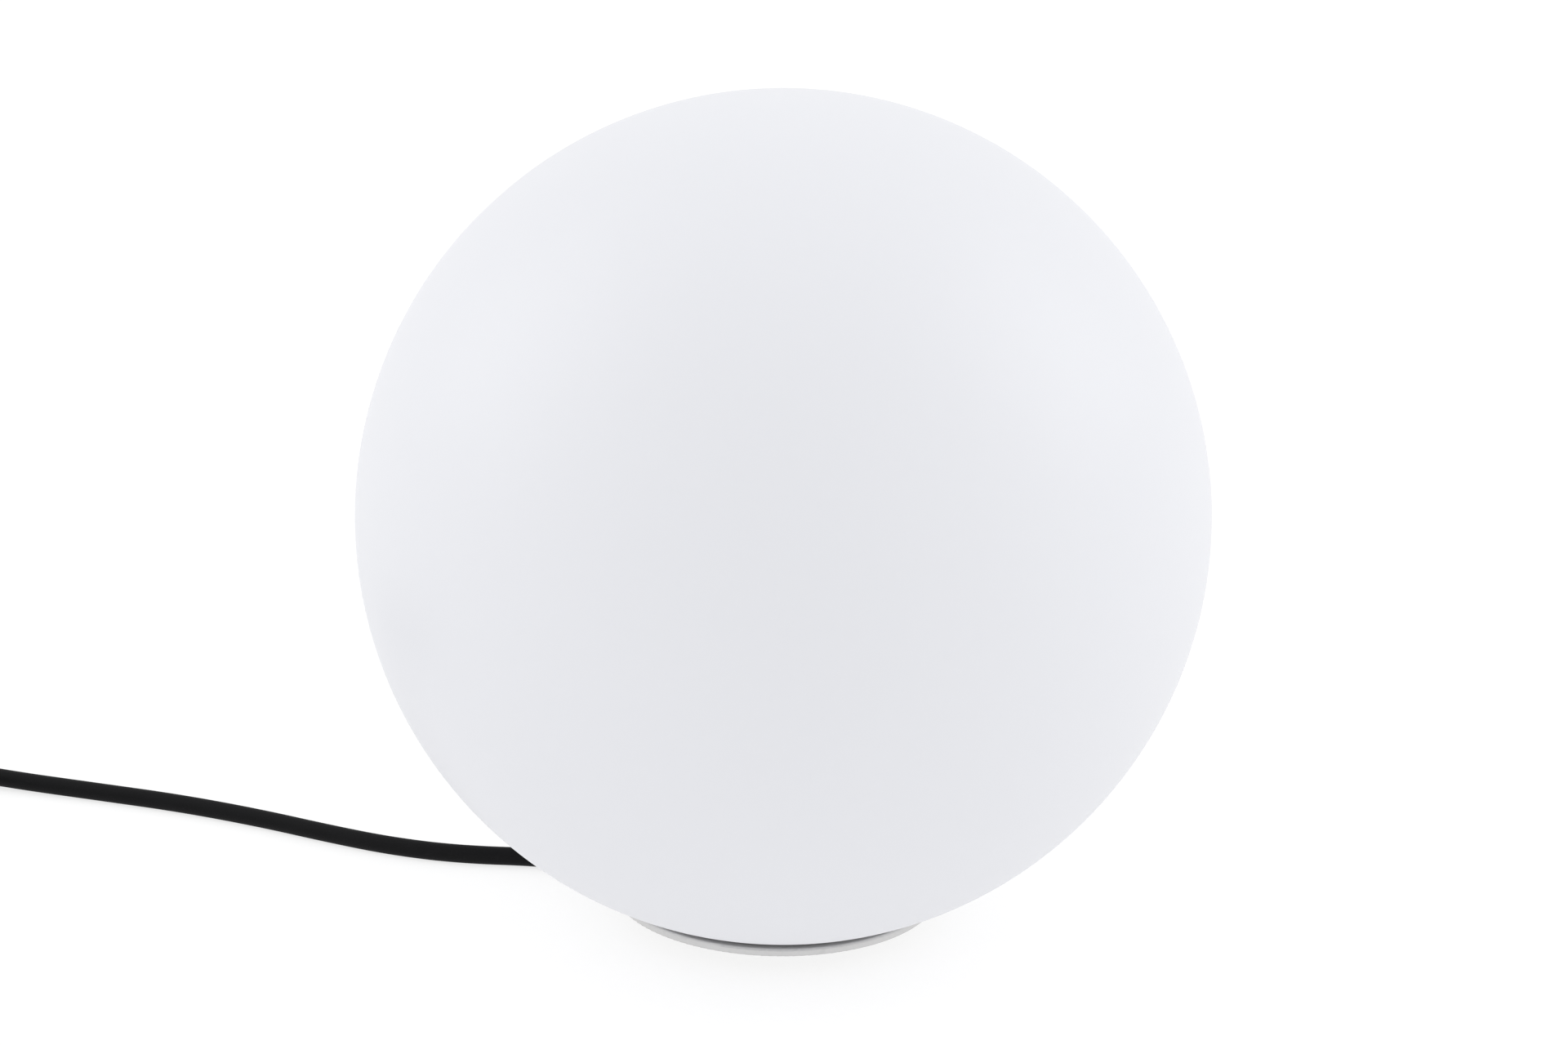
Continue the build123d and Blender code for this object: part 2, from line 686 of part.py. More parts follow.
def bulb_housing():
    """Hollow plastic housing of the lamp, with a neck in the cap and a ledge for the light board."""
    neck_r = CAP_IN - FIT_GAP
    neck_in = neck_r - LAMP_NECK_WALL
    neck_low = CAP_TOP - LAMP_NECK_H
    shoulder = CAP_TOP + LAMP_SHOULDER_H
    rim_in = LAMP_TOP_R - LAMP_NECK_WALL
    return turned(
        [
            (neck_r, neck_low),
            (neck_r, CAP_TOP),
            (LAMP_FOOT_R, CAP_TOP),
            (LAMP_SHOULDER_R, shoulder),
            (LAMP_TOP_R, BOARD_LOW),
            (LAMP_TOP_R, HOUSING_TOP),
            (rim_in, HOUSING_TOP),
            (rim_in, BOARD_LOW),
            (rim_in - LAMP_NECK_WALL, BOARD_LOW),
            (LAMP_SHOULDER_R - LAMP_NECK_WALL, shoulder),
            (neck_in, CAP_TOP),
            (neck_in, neck_low),
        ]
    )


def bulb_led_board():
    """Round board that carries the light chips."""
    return disc(LAMP_TOP_R - LAMP_NECK_WALL - FIT_GAP, BOARD_LOW, BOARD_LOW + BOARD_T)


def bulb_led_chips():
    """Light chips in a ring on the board."""
    angles = [k * 360 / CHIP_COUNT for k in range(CHIP_COUNT)]
    low = BOARD_LOW + BOARD_T
    chip = Pos(CHIP_CIRCLE, 0, low + CHIP_T / 2) * Box(CHIP_SIDE, CHIP_SIDE, CHIP_T)
    return group(Rot(0, 0, a) * chip for a in angles)


def bulb_driver():
    """Upright circuit board under the light board."""
    half_t, half_w = DRIVER_T / 2, DRIVER_W / 2
    return block((-half_t, half_t), (-half_w, half_w), (BOARD_LOW - DRIVER_H, BOARD_LOW))


def bulb_diffuser():
    """Frosted dome of the lamp."""
    inner_foot = ball_r(BULB_R - BULB_WALL, BULB_Z, HOUSING_TOP)
    return revolve(
        ball_shell_face(BULB_R, BULB_WALL, BULB_Z, HOUSING_TOP, [(inner_foot + BULB_WALL / 4, HOUSING_TOP)]),
        Axis.Z,
    )


def cable_boot():
    """Tapered rubber strain relief, held in the gland wall by its neck and flange."""
    bore = LEAD_R + FIT_GAP
    grooves = []
    for k in range(BOOT_GROOVES):
        middle = BOOT_L * (k + 1) / (BOOT_GROOVES + 1)
        at = BOOT_TIP_R + (BOOT_ROOT_R - BOOT_TIP_R) * middle / BOOT_L - BOOT_GROOVE_D
        grooves += [(at, middle - BOOT_GROOVE_W / 2), (at, middle + BOOT_GROOVE_W / 2)]
    profile = [(bore, 0), (BOOT_TIP_R, 0)]
    for (r, low), (_, high) in zip(grooves[::2], grooves[1::2]):
        slope = (BOOT_ROOT_R - BOOT_TIP_R) / BOOT_L
        profile += [(BOOT_TIP_R + slope * low, low), (r, low), (r, high), (BOOT_TIP_R + slope * high, high)]
    neck_top = BOOT_L + GLAND_WALL
    end = neck_top + BOOT_FLANGE_T
    profile += [(BOOT_ROOT_R, BOOT_L), (BOOT_NECK_R, BOOT_L), (BOOT_NECK_R, neck_top)]
    profile += [(BOOT_FLANGE_R, neck_top), (BOOT_FLANGE_R, end), (bore, end)]
    return LEAD_AXIS * Pos(0, 0, LEAD_TIP_RUN) * turned(profile)


def lead_inner():
    """Stretch of the lead inside the boot, the gland wall and the clamp."""
    return lead_rod(LEAD_R, LEAD_TIP_RUN, JACKET_END_S)


def lead_clamp():
    """Bar that presses the lead against the saddle under the base's roof."""
    split = clamp_split_z() - CLAMP_GAP / 2
    low = split - CLAMP_BAR_H
    bar = block(clamp_saddle_x(), (-CLAMP_W / 2, CLAMP_W / 2), (low, split))
    bar -= lead_rod(LEAD_R + FIT_GAP, CLAMP_S - CLAMP_L, JACKET_END_S + CLAMP_L)
    middle_x = sum(clamp_saddle_x()) / 2
    for y in (-CLAMP_SCREW_Y, CLAMP_SCREW_Y):
        bar -= disc(SCREW_R + HOLE_GAP, low, split, at=(middle_x, y))
    return bar


def clamp_screws():
    """Screws of the lead clamp, driven from below."""
    head_low = clamp_split_z() - CLAMP_GAP / 2 - CLAMP_BAR_H - SCREW_HEAD_H
    middle_x = sum(clamp_saddle_x()) / 2
    places = [(middle_x, y) for y in (-CLAMP_SCREW_Y, CLAMP_SCREW_Y)]
    return group(screw(at, head_low, False, SCREW_L) for at in places)


def round_sweep(path, radius):
    """Round bar along a path."""
    section = Plane(origin=path @ 0, z_dir=path % 0)
    return sweep(section * Circle(radius), path=path)


def wire(points):
    """Single core from the lead's end to a terminal."""
    return round_sweep(FilletPolyline(*points, radius=WIRE_BEND), WIRE_R)


def wire_start(side):
    """First two points of a core: the jacket's end and the foot of its upright run."""
    end = lead_point(JACKET_END_S)
    rise = (WIRE_UP_X - end.X) * tan(TILT)
    return [(end.X, side * WIRE_Y, end.Z), (WIRE_UP_X, side * WIRE_Y, end.Z + rise)]


def live_wire():
    """Core to the centre contact, which crosses over inside the tower."""
    under = TOWER_TOP - TOWER_TOP_T
    return wire(
        wire_start(1)
        + [
            (WIRE_UP_X, WIRE_Y, under - LIVE_CROSS_FROM),
            (-WIRE_X, LIVE_ASIDE, under - LIVE_CROSS_TO),
            (-WIRE_X, 0, under - WIRE_STRAIGHT),
            (-WIRE_X, 0, HOLDER_FLOOR),
        ]
    )


def neutral_wire():
    """Core to the side contact."""
    under = TOWER_TOP - TOWER_TOP_T
    return wire(
        wire_start(-1)
        + [
            (WIRE_UP_X, -WIRE_Y, under - WIRE_STRAIGHT - NEUTRAL_LEAN),
            (WIRE_X, 0, under - WIRE_STRAIGHT),
            (WIRE_X, 0, HOLDER_FLOOR),
        ]
    )


def route_points():
    """Points of the free lead: the boot's tip, the landing point and the route on the floor."""
    tip = lead_point(LEAD_TIP_RUN)
    land = lead_point(0)
    return [tip, land] + [Vector(x, y, LEAD_R + lift) for x, y, lift in ROUTE]


def corner_radii(points):
    """Radius at each inner point: a share of the shorter run over the tangent of half the turn."""
    radii = []
    for before, at, after in zip(points, points[1:], points[2:]):
        turn = radians((at - before).get_angle(after - at))
        shorter = min((at - before).length, (after - at).length)
        radii.append(ARC_SHARE * shorter / tan(turn / 2))
    return radii


def report_tube(name, solid, path):
    """Print a tube's length and its volume against section times length."""
    plain = pi * LEAD_R**2 * path.length
    print(f"{name}: length {path.length:.1f} mm, volume over section times length {solid.volume / plain:.4f}")


def cord_free():
    """Free stretch of the lead, straight runs joined by tangent arcs."""
    points = route_points()
    radii = corner_radii(points)
    print("cord radii:", " ".join(f"{r:.0f}" for r in radii), "mm")
    print(f"cord radii: least over diameter {min(radii) / LEAD_D:.2f}")
    path = FilletPolyline(*points, radius=radii)
    solid = round_sweep(path, LEAD_R)
    report_tube("cord_free", solid, path)
    return solid


def coil_point(turn):
    """Point of the coil: in along the lower layer, up a layer in the reversing half turn, and out."""
    angle = pi / 2 + 2 * pi * turn
    past = turn - COIL_TURNS
    if past <= 0:
        radius = COIL_IN_R - COIL_STEP * past
    elif past <= COIL_CLIMB:
        radius = COIL_IN_R - COIL_STEP * min(past, COIL_CLIMB - past)
    else:
        radius = COIL_IN_R + COIL_STEP * (past - COIL_CLIMB)
    climbed = min(max(past / COIL_CLIMB, 0), 1)
    return Vector(
        COIL_X + radius * cos(angle), COIL_Y + radius * sin(angle), COIL_LOW_Z + COIL_LAYER * climbed
    )


def coil_way(turn):
    """Direction of the coil at a turn."""
    return (coil_point(turn + COIL_DIR_STEP) - coil_point(turn - COIL_DIR_STEP)).normalized()


def biarc(start, start_dir, end, end_dir):
    """Two tangent arcs from one point and direction to another."""
    chord = end - start
    both = start_dir + end_dir
    bend = 2 * (1 - start_dir.dot(end_dir))
    along = chord.dot(both)
    reach = (sqrt(along**2 + bend * chord.dot(chord)) - along) / bend
    first, second = start + start_dir * reach, end - end_dir * reach
    middle = (first + second) / 2
    return [
        Edge.make_tangent_arc(start, start_dir, middle),
        Edge.make_tangent_arc(middle, second - first, end),
    ]


def coil_path():
    """The coil's biarcs, one for each quarter turn, between two short straight ends."""
    quarters = round(4 * (2 * COIL_TURNS + COIL_CLIMB))
    places = [coil_point(k / 4) for k in range(quarters + 1)]
    ways = [coil_way(k / 4) for k in range(quarters + 1)]
    ways[0], ways[-1] = Vector(-1, 0, 0), Vector(1, 0, 0)
    edges = [Edge.make_line(places[0] - ways[0] * LEAD_D, places[0])]
    for k in range(quarters):
        edges += biarc(places[k], ways[k], places[k + 1], ways[k + 1])
    edges.append(Edge.make_line(places[-1], places[-1] + ways[-1] * COIL_LEAD_OUT))
    return Wire(edges)


def least_self_gap(path):
    """Least gap between the tube's own turns, measured on points over half a turn apart."""
    count = ceil(path.length / (LEAD_D / 4))
    points = [path @ (k / count) for k in range(count + 1)]
    apart = round(pi * COIL_IN_R / (path.length / count))
    nearest = min(
        (points[i] - points[j]).length for i in range(len(points)) for j in range(i + apart, len(points))
    )
    return nearest - LEAD_D


def cord_coil():
    """Put-away length of the lead, one unbroken tube wound in two layers."""
    path = coil_path()
    solid = round_sweep(path, LEAD_R)
    report_tube("cord_coil", solid, path)
    print(f"cord_coil: least gap to itself {least_self_gap(path):.2f} mm")
    return solid


def coil_tie():
    """Strap round the coil's bundle on the side away from the lamp."""
    outer_x = COIL_X - (COIL_OUT_R - COIL_STEP * COIL_CLIMB / 2 + LEAD_R + TIE_GAP)
    inner_x = COIL_X - (COIL_IN_R - COIL_STEP * COIL_CLIMB / 2 - LEAD_R - TIE_GAP)
    low = COIL_LOW_Z - LEAD_R - TIE_SLACK
    high = COIL_TOP_Z + LEAD_R + TIE_SLACK
    width, height = inner_x - outer_x, high - low
    band = RectangleRounded(width + 2 * TIE_T, height + 2 * TIE_T, LEAD_R)
    band -= RectangleRounded(width, height, LEAD_R - TIE_T)
    centre = ((outer_x + inner_x) / 2, COIL_Y, (low + high) / 2)
    across = Plane(origin=centre, x_dir=(1, 0, 0), z_dir=(0, 1, 0))
    return extrude(across * band, TIE_W / 2, both=True)


def plug_plane(x):
    """Plane square to the plug's axis."""
    return Plane(origin=(x, PLUG_Y, COIL_TOP_Z), x_dir=(0, 1, 0), z_dir=(1, 0, 0))


def plug_boot():
    """Tapered and grooved bend relief behind the plug."""
    slope = (PLUG_BOOT_ROOT_R - PLUG_BOOT_TIP_R) / PLUG_BOOT_L
    profile = [(0, 0), (PLUG_BOOT_TIP_R, 0)]
    for k in range(PLUG_BOOT_GROOVES):
        low = PLUG_BOOT_L * (k + 1) / (PLUG_BOOT_GROOVES + 1) - BOOT_GROOVE_W / 2
        high = low + BOOT_GROOVE_W
        floor = PLUG_BOOT_TIP_R + slope * low - BOOT_GROOVE_D
        profile += [(PLUG_BOOT_TIP_R + slope * low, low), (floor, low), (floor, high)]
        profile += [(PLUG_BOOT_TIP_R + slope * high, high)]
    profile += [(PLUG_BOOT_ROOT_R, PLUG_BOOT_L), (0, PLUG_BOOT_L)]
    return plug_plane(PLUG_BOOT_X) * turned(profile)


def plug_body():
    """Two-pin plug body that swells from its bend relief to a flat face, with grooves for a grip."""
    rear = RectangleRounded(PLUG_REAR_W, PLUG_REAR_H, PLUG_REAR_CORNER)
    wide = RectangleRounded(PLUG_W, PLUG_H, PLUG_CORNER)
    taper = loft([plug_plane(PLUG_X) * rear, plug_plane(PLUG_X + PLUG_TAPER_L) * wide])
    body = taper + plug_plane(PLUG_X + PLUG_TAPER_L) * extrude(wide, PLUG_L - PLUG_TAPER_L)
    face = body.faces().sort_by(Axis.X)[-1]
    body = fillet(face.edges(), PLUG_EDGE)
    core = RectangleRounded(PLUG_W - 2 * GRIP_D, PLUG_H - 2 * GRIP_D, PLUG_CORNER - GRIP_D)
    for k in range(GRIP_COUNT):
        start = PLUG_X + PLUG_TAPER_L + GRIP_FROM + k * GRIP_STEP
        body -= plug_plane(start) * extrude(wide - core, GRIP_W)
    return body


def plug_pins():
    """Two round pins with tapered noses."""
    pin = turned(
        [(0, 0), (PIN_R, 0), (PIN_R, PIN_L - PIN_NOSE), (PIN_R - PIN_NOSE, PIN_L), (0, PIN_L)]
    )
    return group(plug_plane(PLUG_FACE_X) * Pos(y, 0, 0) * pin for y in (-PIN_SPACING / 2, PIN_SPACING / 2))


NODES = [
    globe,
    globe_ring,
    globe_gasket,
    base_plate,
    bottom_cover,
    cover_gasket,
    cover_screws,
    rubber_feet,
    holder_tower,
    tower_screws,
    lampholder_body,
    lampholder_screws,
    lampholder_sleeve,
    centre_contact,
    side_contact,
    terminal_screws,
    bulb_tip_contact,
    bulb_insulator,
    bulb_cap,
    bulb_housing,
    bulb_led_board,
    bulb_led_chips,
    bulb_driver,
    bulb_diffuser,
    cable_boot,
    lead_inner,
    lead_clamp,
    clamp_screws,
    live_wire,
    neutral_wire,
    cord_free,
    cord_coil,
    coil_tie,
    plug_boot,
    plug_body,
    plug_pins,
]

os.makedirs("parts", exist_ok=True)
for node in NODES:
    export_step(node(), f"parts/{node.__name__}.step")
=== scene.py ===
"""Outdoor globe floor lamp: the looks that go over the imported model, laid out as an add-on."""

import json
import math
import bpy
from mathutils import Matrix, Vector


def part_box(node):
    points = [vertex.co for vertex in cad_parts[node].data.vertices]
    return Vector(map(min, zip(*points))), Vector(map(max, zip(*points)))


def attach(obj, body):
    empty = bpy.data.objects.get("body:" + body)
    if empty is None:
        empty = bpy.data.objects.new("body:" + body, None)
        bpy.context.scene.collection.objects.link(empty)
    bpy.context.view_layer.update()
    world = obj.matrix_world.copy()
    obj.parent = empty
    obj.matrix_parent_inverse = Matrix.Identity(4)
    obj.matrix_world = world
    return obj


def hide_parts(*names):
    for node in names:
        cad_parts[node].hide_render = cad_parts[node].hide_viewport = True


bl_info = {
    "name": "Outdoor Globe Floor Lamp",
    "version": (1, 0, 0),
    "blender": (4, 5, 0),
    "location": "View3D > Sidebar > Globe Lamp",
    "description": "Dresses an outdoor globe lamp with its opal globe, low base and rubber mains lead",
    "category": "Object",
}

import bpy
import numpy as np
from bpy.props import FloatProperty, FloatVectorProperty, IntProperty, PointerProperty
from mathutils import Matrix, Vector

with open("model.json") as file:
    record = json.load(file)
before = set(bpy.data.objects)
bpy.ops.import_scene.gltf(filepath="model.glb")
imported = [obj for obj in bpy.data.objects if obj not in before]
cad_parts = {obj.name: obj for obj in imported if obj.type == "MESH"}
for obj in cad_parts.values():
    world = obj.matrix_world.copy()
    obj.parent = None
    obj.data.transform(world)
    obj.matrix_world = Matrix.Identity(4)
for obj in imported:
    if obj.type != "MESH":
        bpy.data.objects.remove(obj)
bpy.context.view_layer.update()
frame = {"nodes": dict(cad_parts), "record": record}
GLOBE_LOW, GLOBE_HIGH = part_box("globe")
RELIEF_LOW, RELIEF_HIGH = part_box("plug_boot")
PLUG_LOW, PLUG_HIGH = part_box("plug_body")
PINS_LOW, PINS_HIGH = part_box("plug_pins")
TIE_LOW, TIE_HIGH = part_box("coil_tie")
RIM_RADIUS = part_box("base_plate")[1].x
PLUG_MIDDLE = ((PLUG_LOW.y + PLUG_HIGH.y) / 2, (PLUG_LOW.z + PLUG_HIGH.z) / 2)
GLOBE_RADIUS = (GLOBE_HIGH.x - GLOBE_LOW.x) / 2
GLOBE_MIDDLE = GLOBE_HIGH.z - GLOBE_RADIUS
FOOT_RADIUS = math.sqrt(GLOBE_RADIUS**2 - (GLOBE_MIDDLE - GLOBE_LOW.z) ** 2)
UNROLLED = "unrolled"

# Free lead from the boot's tip to the coil, in metres: the route of the part's source
LEAD_ROUTE = [
    (-0.017098, 0.0, 0.006733),
    (-0.028, 0.0, 0.0034),
    (-0.040, 0.00025, 0.0034),
    (-0.056, 0.001, 0.0034),
    (-0.074, 0.0018, 0.0034),
    (-0.092, 0.0002, 0.0034),
    (-0.122, -0.010, 0.0034),
    (-0.148, -0.0131, 0.0034),
    (-0.174, -0.012, 0.0034),
    (-0.206, -0.009, 0.0034),
    (-0.240, -0.0084, 0.0034),
    (-0.274, -0.011, 0.0034),
    (-0.311, -0.015, 0.0039),
    (-0.345, -0.016, 0.0047),
    (-0.364, -0.016, 0.0047),
]
COIL_CENTRE = (-0.3708, -0.0676)
COIL_INNER = 0.0294
COIL_STEP = 0.0074
COIL_LAYER = 0.0074
COIL_TURNS = 3
COIL_CLIMB = 0.5
COIL_LOW_Z = 0.0047
PLUG_ENTRY = (-0.3588, -0.1192, 0.0121)

# How finely the pieces on the lead are divided, along them and round them
PLUG_ALONG, PLUG_ROUND = 170, 112
RELIEF_ALONG, RELIEF_ROUND = 150, 56
PIN_ALONG, PIN_ROUND = 24, 40
STRAP_ALONG, STRAP_ROUND = 300, 32
LEAD_STEPS, LEAD_ROUND = 10, 8
EDGE_STEPS = 10
CORNER_STEPS = 10

# How square an outline is: 2 is a circle
CIRCLE = 2
PLUG_SQUARE = 3.4
STRAP_SQUARE = 7

# Rounded ends of the relief and the pins, in metres
TIP_EDGE = 0.0005
ROOT_EDGE = 0.0001

# The strap steps out over its own start: the step's length and how far before the start it begins, in
# metres, and how many thicknesses it goes out
STRAP_STEP = 0.006
STRAP_STEP_BEFORE = 0.0078
STRAP_STEP_OUT = 1.1

# Faces that meet at more than this angle keep a sharp edge between them
CREASE = math.radians(35)
GLOBE_CREASE = math.radians(15)

PLASTIC_IOR = 1.50

# Square soft lights: places right of, behind and above the lamp for the camera, and sides, in metres
LEFT_LIGHT = (-1.8, 0.2, 1.3)
RIGHT_LIGHT = (1.8, 0.2, 1.3)
TOP_LIGHT = (0.0, 0.4, 2.3)
SIDE_LIGHT_SIZE = 1.6
TOP_LIGHT_SIZE = 1.8
SKY_COLOUR = (0.995, 0.998, 1.0, 1.0)
FLOOR_HALF = 6.0
PAPER = (0.29, 0.29, 0.29)
PAPER_FIBRE = (0.27, 0.27, 0.27)
GLOW_COLOUR = (1.0, 1.0, 1.0, 1.0)
IMAGE_W = 1920
SENSOR_W = 36.0


def length_prop(name, description, default):
    """A length in metres."""
    return FloatProperty(name=name, description=description, default=default, unit="LENGTH")


def angle_prop(name, description, default):
    """An angle in radians."""
    return FloatProperty(name=name, description=description, default=default, unit="ROTATION")


def power_prop(name, description, default):
    """A light's power in watts."""
    return FloatProperty(name=name, description=description, default=default, unit="POWER")


def pixel_prop(name, description, default):
    """A distance in the picture, in pixels."""
    return FloatProperty(name=name, description=description, default=default, subtype="PIXEL")


def count_prop(name, description, default, least):
    """A whole number."""
    return IntProperty(name=name, description=description, default=default, min=least)


def colour_prop(name, description, default):
    """A colour."""
    return FloatVectorProperty(
        name=name, description=description, default=default, subtype="COLOR", size=3, min=0, max=1
    )


class GlobeSizes(bpy.types.PropertyGroup):
    """Sizes of the globe's shell."""

    radius: length_prop("Radius", "Outer radius of the globe", GLOBE_RADIUS)
    wall: length_prop("Wall", "Thickness of the shell", 0.0025)
    foot: length_prop("Foot", "Thickness of the flat foot", 0.003)
    mouth: length_prop("Mouth", "Radius of the hole in the foot", 0.04685)
    groove_outer: length_prop("Groove outside", "Outer radius of the seal's groove", 0.0531)
    groove_inner: length_prop("Groove inside", "Inner radius of the seal's groove", 0.0479)
    groove_depth: length_prop("Groove depth", "Depth of the seal's groove", 0.00115)
    around: count_prop("Around", "Faces round the axis", 224, 24)
    along: count_prop("Along", "Faces from pole to foot", 150, 24)


class LeadSizes(bpy.types.PropertyGroup):
    """Sizes of the mains lead."""

    diameter: length_prop("Diameter", "Thickness of the lead", 0.0068)
    length: length_prop("Length", "Length from base to plug", 1.98)
    per_turn: count_prop("Points a turn", "Control points in a turn of the coil", 16, 12)


class PlugSizes(bpy.types.PropertyGroup):
    """Sizes of the plug, its bend relief and its pins."""

    rear_width: length_prop("Rear width", "Width at the relief", 0.018)
    rear_height: length_prop("Rear height", "Height at the relief", 0.015)
    taper: length_prop("Taper", "Length over which it swells", 0.014)
    rear_edge: length_prop("Rear edge", "Rounding at the relief", 0.0025)
    face_edge: length_prop("Face edge", "Rounding at the pins", 0.0018)
    grips: count_prop("Grips", "Grooves for the fingers", 4, 0)
    grip_start: length_prop("First grip", "First groove from the rear", 0.0178)
    grip_step: length_prop("Grip step", "From groove to groove", 0.0034)
    grip_half: length_prop("Grip half", "Half width of a groove", 0.0011)
    grip_depth: length_prop("Grip depth", "Depth of a groove", 0.0008)
    relief_tip: length_prop("Relief tip", "Radius at the lead", 0.004)
    relief_root: length_prop("Relief root", "Radius at the plug", 0.0065)
    relief_grooves: count_prop("Relief grooves", "Grooves that let it bend", 5, 0)
    relief_half: length_prop("Groove half", "Half width of such a groove", 0.001)
    relief_depth: length_prop("Groove depth", "Depth of such a groove", 0.0007)
    pin_nose: length_prop("Pin nose", "Rounding of a pin's end", 0.0014)


class StrapSizes(bpy.types.PropertyGroup):
    """Sizes of the strap that ties the coil."""

    thickness: length_prop("Thickness", "Thickness of the webbing", 0.001)
    corner: length_prop("Corner", "Radius at the bundle's corners", 0.0029)
    overlap: length_prop("Overlap", "Tail that lies on the first turn", 0.0105)
    tail_lift: length_prop("Tail lift", "Rise of the tail's end", 0.0006)


class Finishes(bpy.types.PropertyGroup):
    """Colours of the materials."""

    opal: colour_prop("Opal", "Globe", (0.756, 0.762, 0.797))
    white: colour_prop("White", "Base and inner mouldings", (0.64, 0.635, 0.63))
    rubber: colour_prop("Rubber", "Lead and plug", (0.0035, 0.0035, 0.0039))
    seal: colour_prop("Seal", "Seals and feet", (0.05, 0.05, 0.052))


class StageSettings(bpy.types.PropertyGroup):
    """Camera, floor and light."""

    distance: length_prop("Distance", "Camera to the globe's middle", 1.5)
    height_angle: angle_prop("Height", "Angle of the camera above the floor", math.radians(18.61))
    round_angle: angle_prop("Round", "Angle of the camera round the lamp", math.radians(21.0))
    roll: angle_prop("Roll", "Tilt of the camera", 0.020)
    lens: FloatProperty(name="Lens", description="Focal length in millimetres", default=97.95, min=10)
    across: pixel_prop("Across", "Globe's middle right of the picture's", -0.8)
    down: pixel_prop("Down", "Globe's middle below the picture's", -7.5)
    floor_glow: FloatProperty(name="Floor glow", description="Light up through the floor", default=0.74)
    sky: FloatProperty(name="Sky", description="Strength of the even light all round", default=1.0)
    left: power_prop("Left", "Power of the light at upper left", 7.0)
    right: power_prop("Right", "Power of the light at upper right", 7.7)
    top: power_prop("Top", "Power of the light overhead", 0.6)


class Flow:
    """A socket in a node tree. Operators on it add Math nodes, and node() adds any other node."""

    def __init__(self, tree, socket=None):
        self.tree = tree
        self.socket = socket

    def node(self, kind, settings=None, values=None, out=0):
        """Add a node. Settings are its own properties, set first; values are its sockets' values or links."""
        made = self.tree.nodes.new(kind)
        for name, value in (settings or {}).items():
            setattr(made, name, value)
        for name, value in (values or {}).items():
            if isinstance(value, Flow):
                self.tree.links.new(value.socket, made.inputs[name])
            else:
                made.inputs[name].default_value = value
        return Flow(self.tree, made.outputs[out] if made.outputs else None)

    def maths(self, operation, *terms):
        """A Math node over numbers and flows."""
        return self.node("ShaderNodeMath", {"operation": operation}, dict(enumerate(terms)))

    def __add__(self, other):
        return self.maths("ADD", self, other)

    __radd__ = __add__

    def __sub__(self, other):
        return self.maths("SUBTRACT", self, other)

    def __rsub__(self, other):
        return self.maths("SUBTRACT", other, self)

    def __mul__(self, other):
        return self.maths("MULTIPLY", self, other)

    __rmul__ = __mul__


class Finish:
    """A material with one Principled shader that reads Object coordinates."""

    def __init__(self, name):
        self.material = bpy.data.materials.new(name)
        self.material.use_nodes = True
        self.material.node_tree.nodes.clear()
        self.flow = Flow(self.material.node_tree)
        self.place = self.flow.node("ShaderNodeTexCoord", out="Object")

    def noise(self, size, detail=2.0, stretch=(1.0, 1.0, 1.0)):
        """Noise from 0 to 1 whose lumps are about size metres across, longer where stretch is small."""
        scaled = self.flow.node("ShaderNodeMapping", values={"Vector": self.place, "Scale": stretch})
        values = {"Vector": scaled, "Scale": 1 / size, "Detail": detail}
        return self.flow.node("ShaderNodeTexNoise", values=values)

    def axis(self, name):
        """One Object coordinate, in metres."""
        return self.flow.node("ShaderNodeSeparateXYZ", values={"Vector": self.place}, out=name)

    def ramp(self, value, low, high):
        """Smooth step from 0 at low to 1 at high."""
        values = {"Value": value, "From Min": low, "From Max": high}
        return self.flow.node("ShaderNodeMapRange", {"interpolation_type": "SMOOTHSTEP"}, values)

    def mix(self, first, second, share):
        """Colour between two others, each plain numbers or a flow.

        A Mix node's colours go in at its sockets 6 and 7 and come out at 2.
        """
        first, second = (c if isinstance(c, Flow) else (*c, 1.0) for c in (first, second))
        values = {"Factor": share, 6: first, 7: second}
        return self.flow.node("ShaderNodeMix", {"data_type": "RGBA"}, values, out=2)

    def bump(self, height, depth, strength=1.0):
        """Normal from a height that is depth metres at 1."""
        values = {"Height": height, "Distance": depth, "Strength": strength}
        return self.flow.node("ShaderNodeBump", values=values)

    def close(self, **values):
        """Principled shader with these sockets, joined to the material's output."""
        sockets = {name.replace("_", " "): value for name, value in values.items()}
        shader = self.flow.node("ShaderNodeBsdfPrincipled", values=sockets)
        self.flow.node("ShaderNodeOutputMaterial", values={"Surface": shader})
        return self.material


def shade(colour, by):
    """Colour made lighter or darker by a factor, as plain numbers."""
    return tuple(min(1.0, c * by) for c in colour)


def opal_plastic(colours):
    """Satin opal globe: faint clouds in the wall, a fine moulded skin and light that spreads under it."""
    finish = Finish("opal_plastic")
    clouds = finish.noise(size=0.09, detail=3.0)
    grain = finish.noise(size=0.0011)
    return finish.close(
        Base_Color=finish.mix(shade(colours.opal, 0.985), colours.opal, clouds),
        Roughness=0.40 + 0.08 * clouds,
        Normal=finish.bump(grain, depth=0.00003, strength=0.5),
        IOR=PLASTIC_IOR,
        Subsurface_Weight=0.15,
        Subsurface_Radius=(0.006, 0.006, 0.006),
        Subsurface_Scale=1.0,
    )


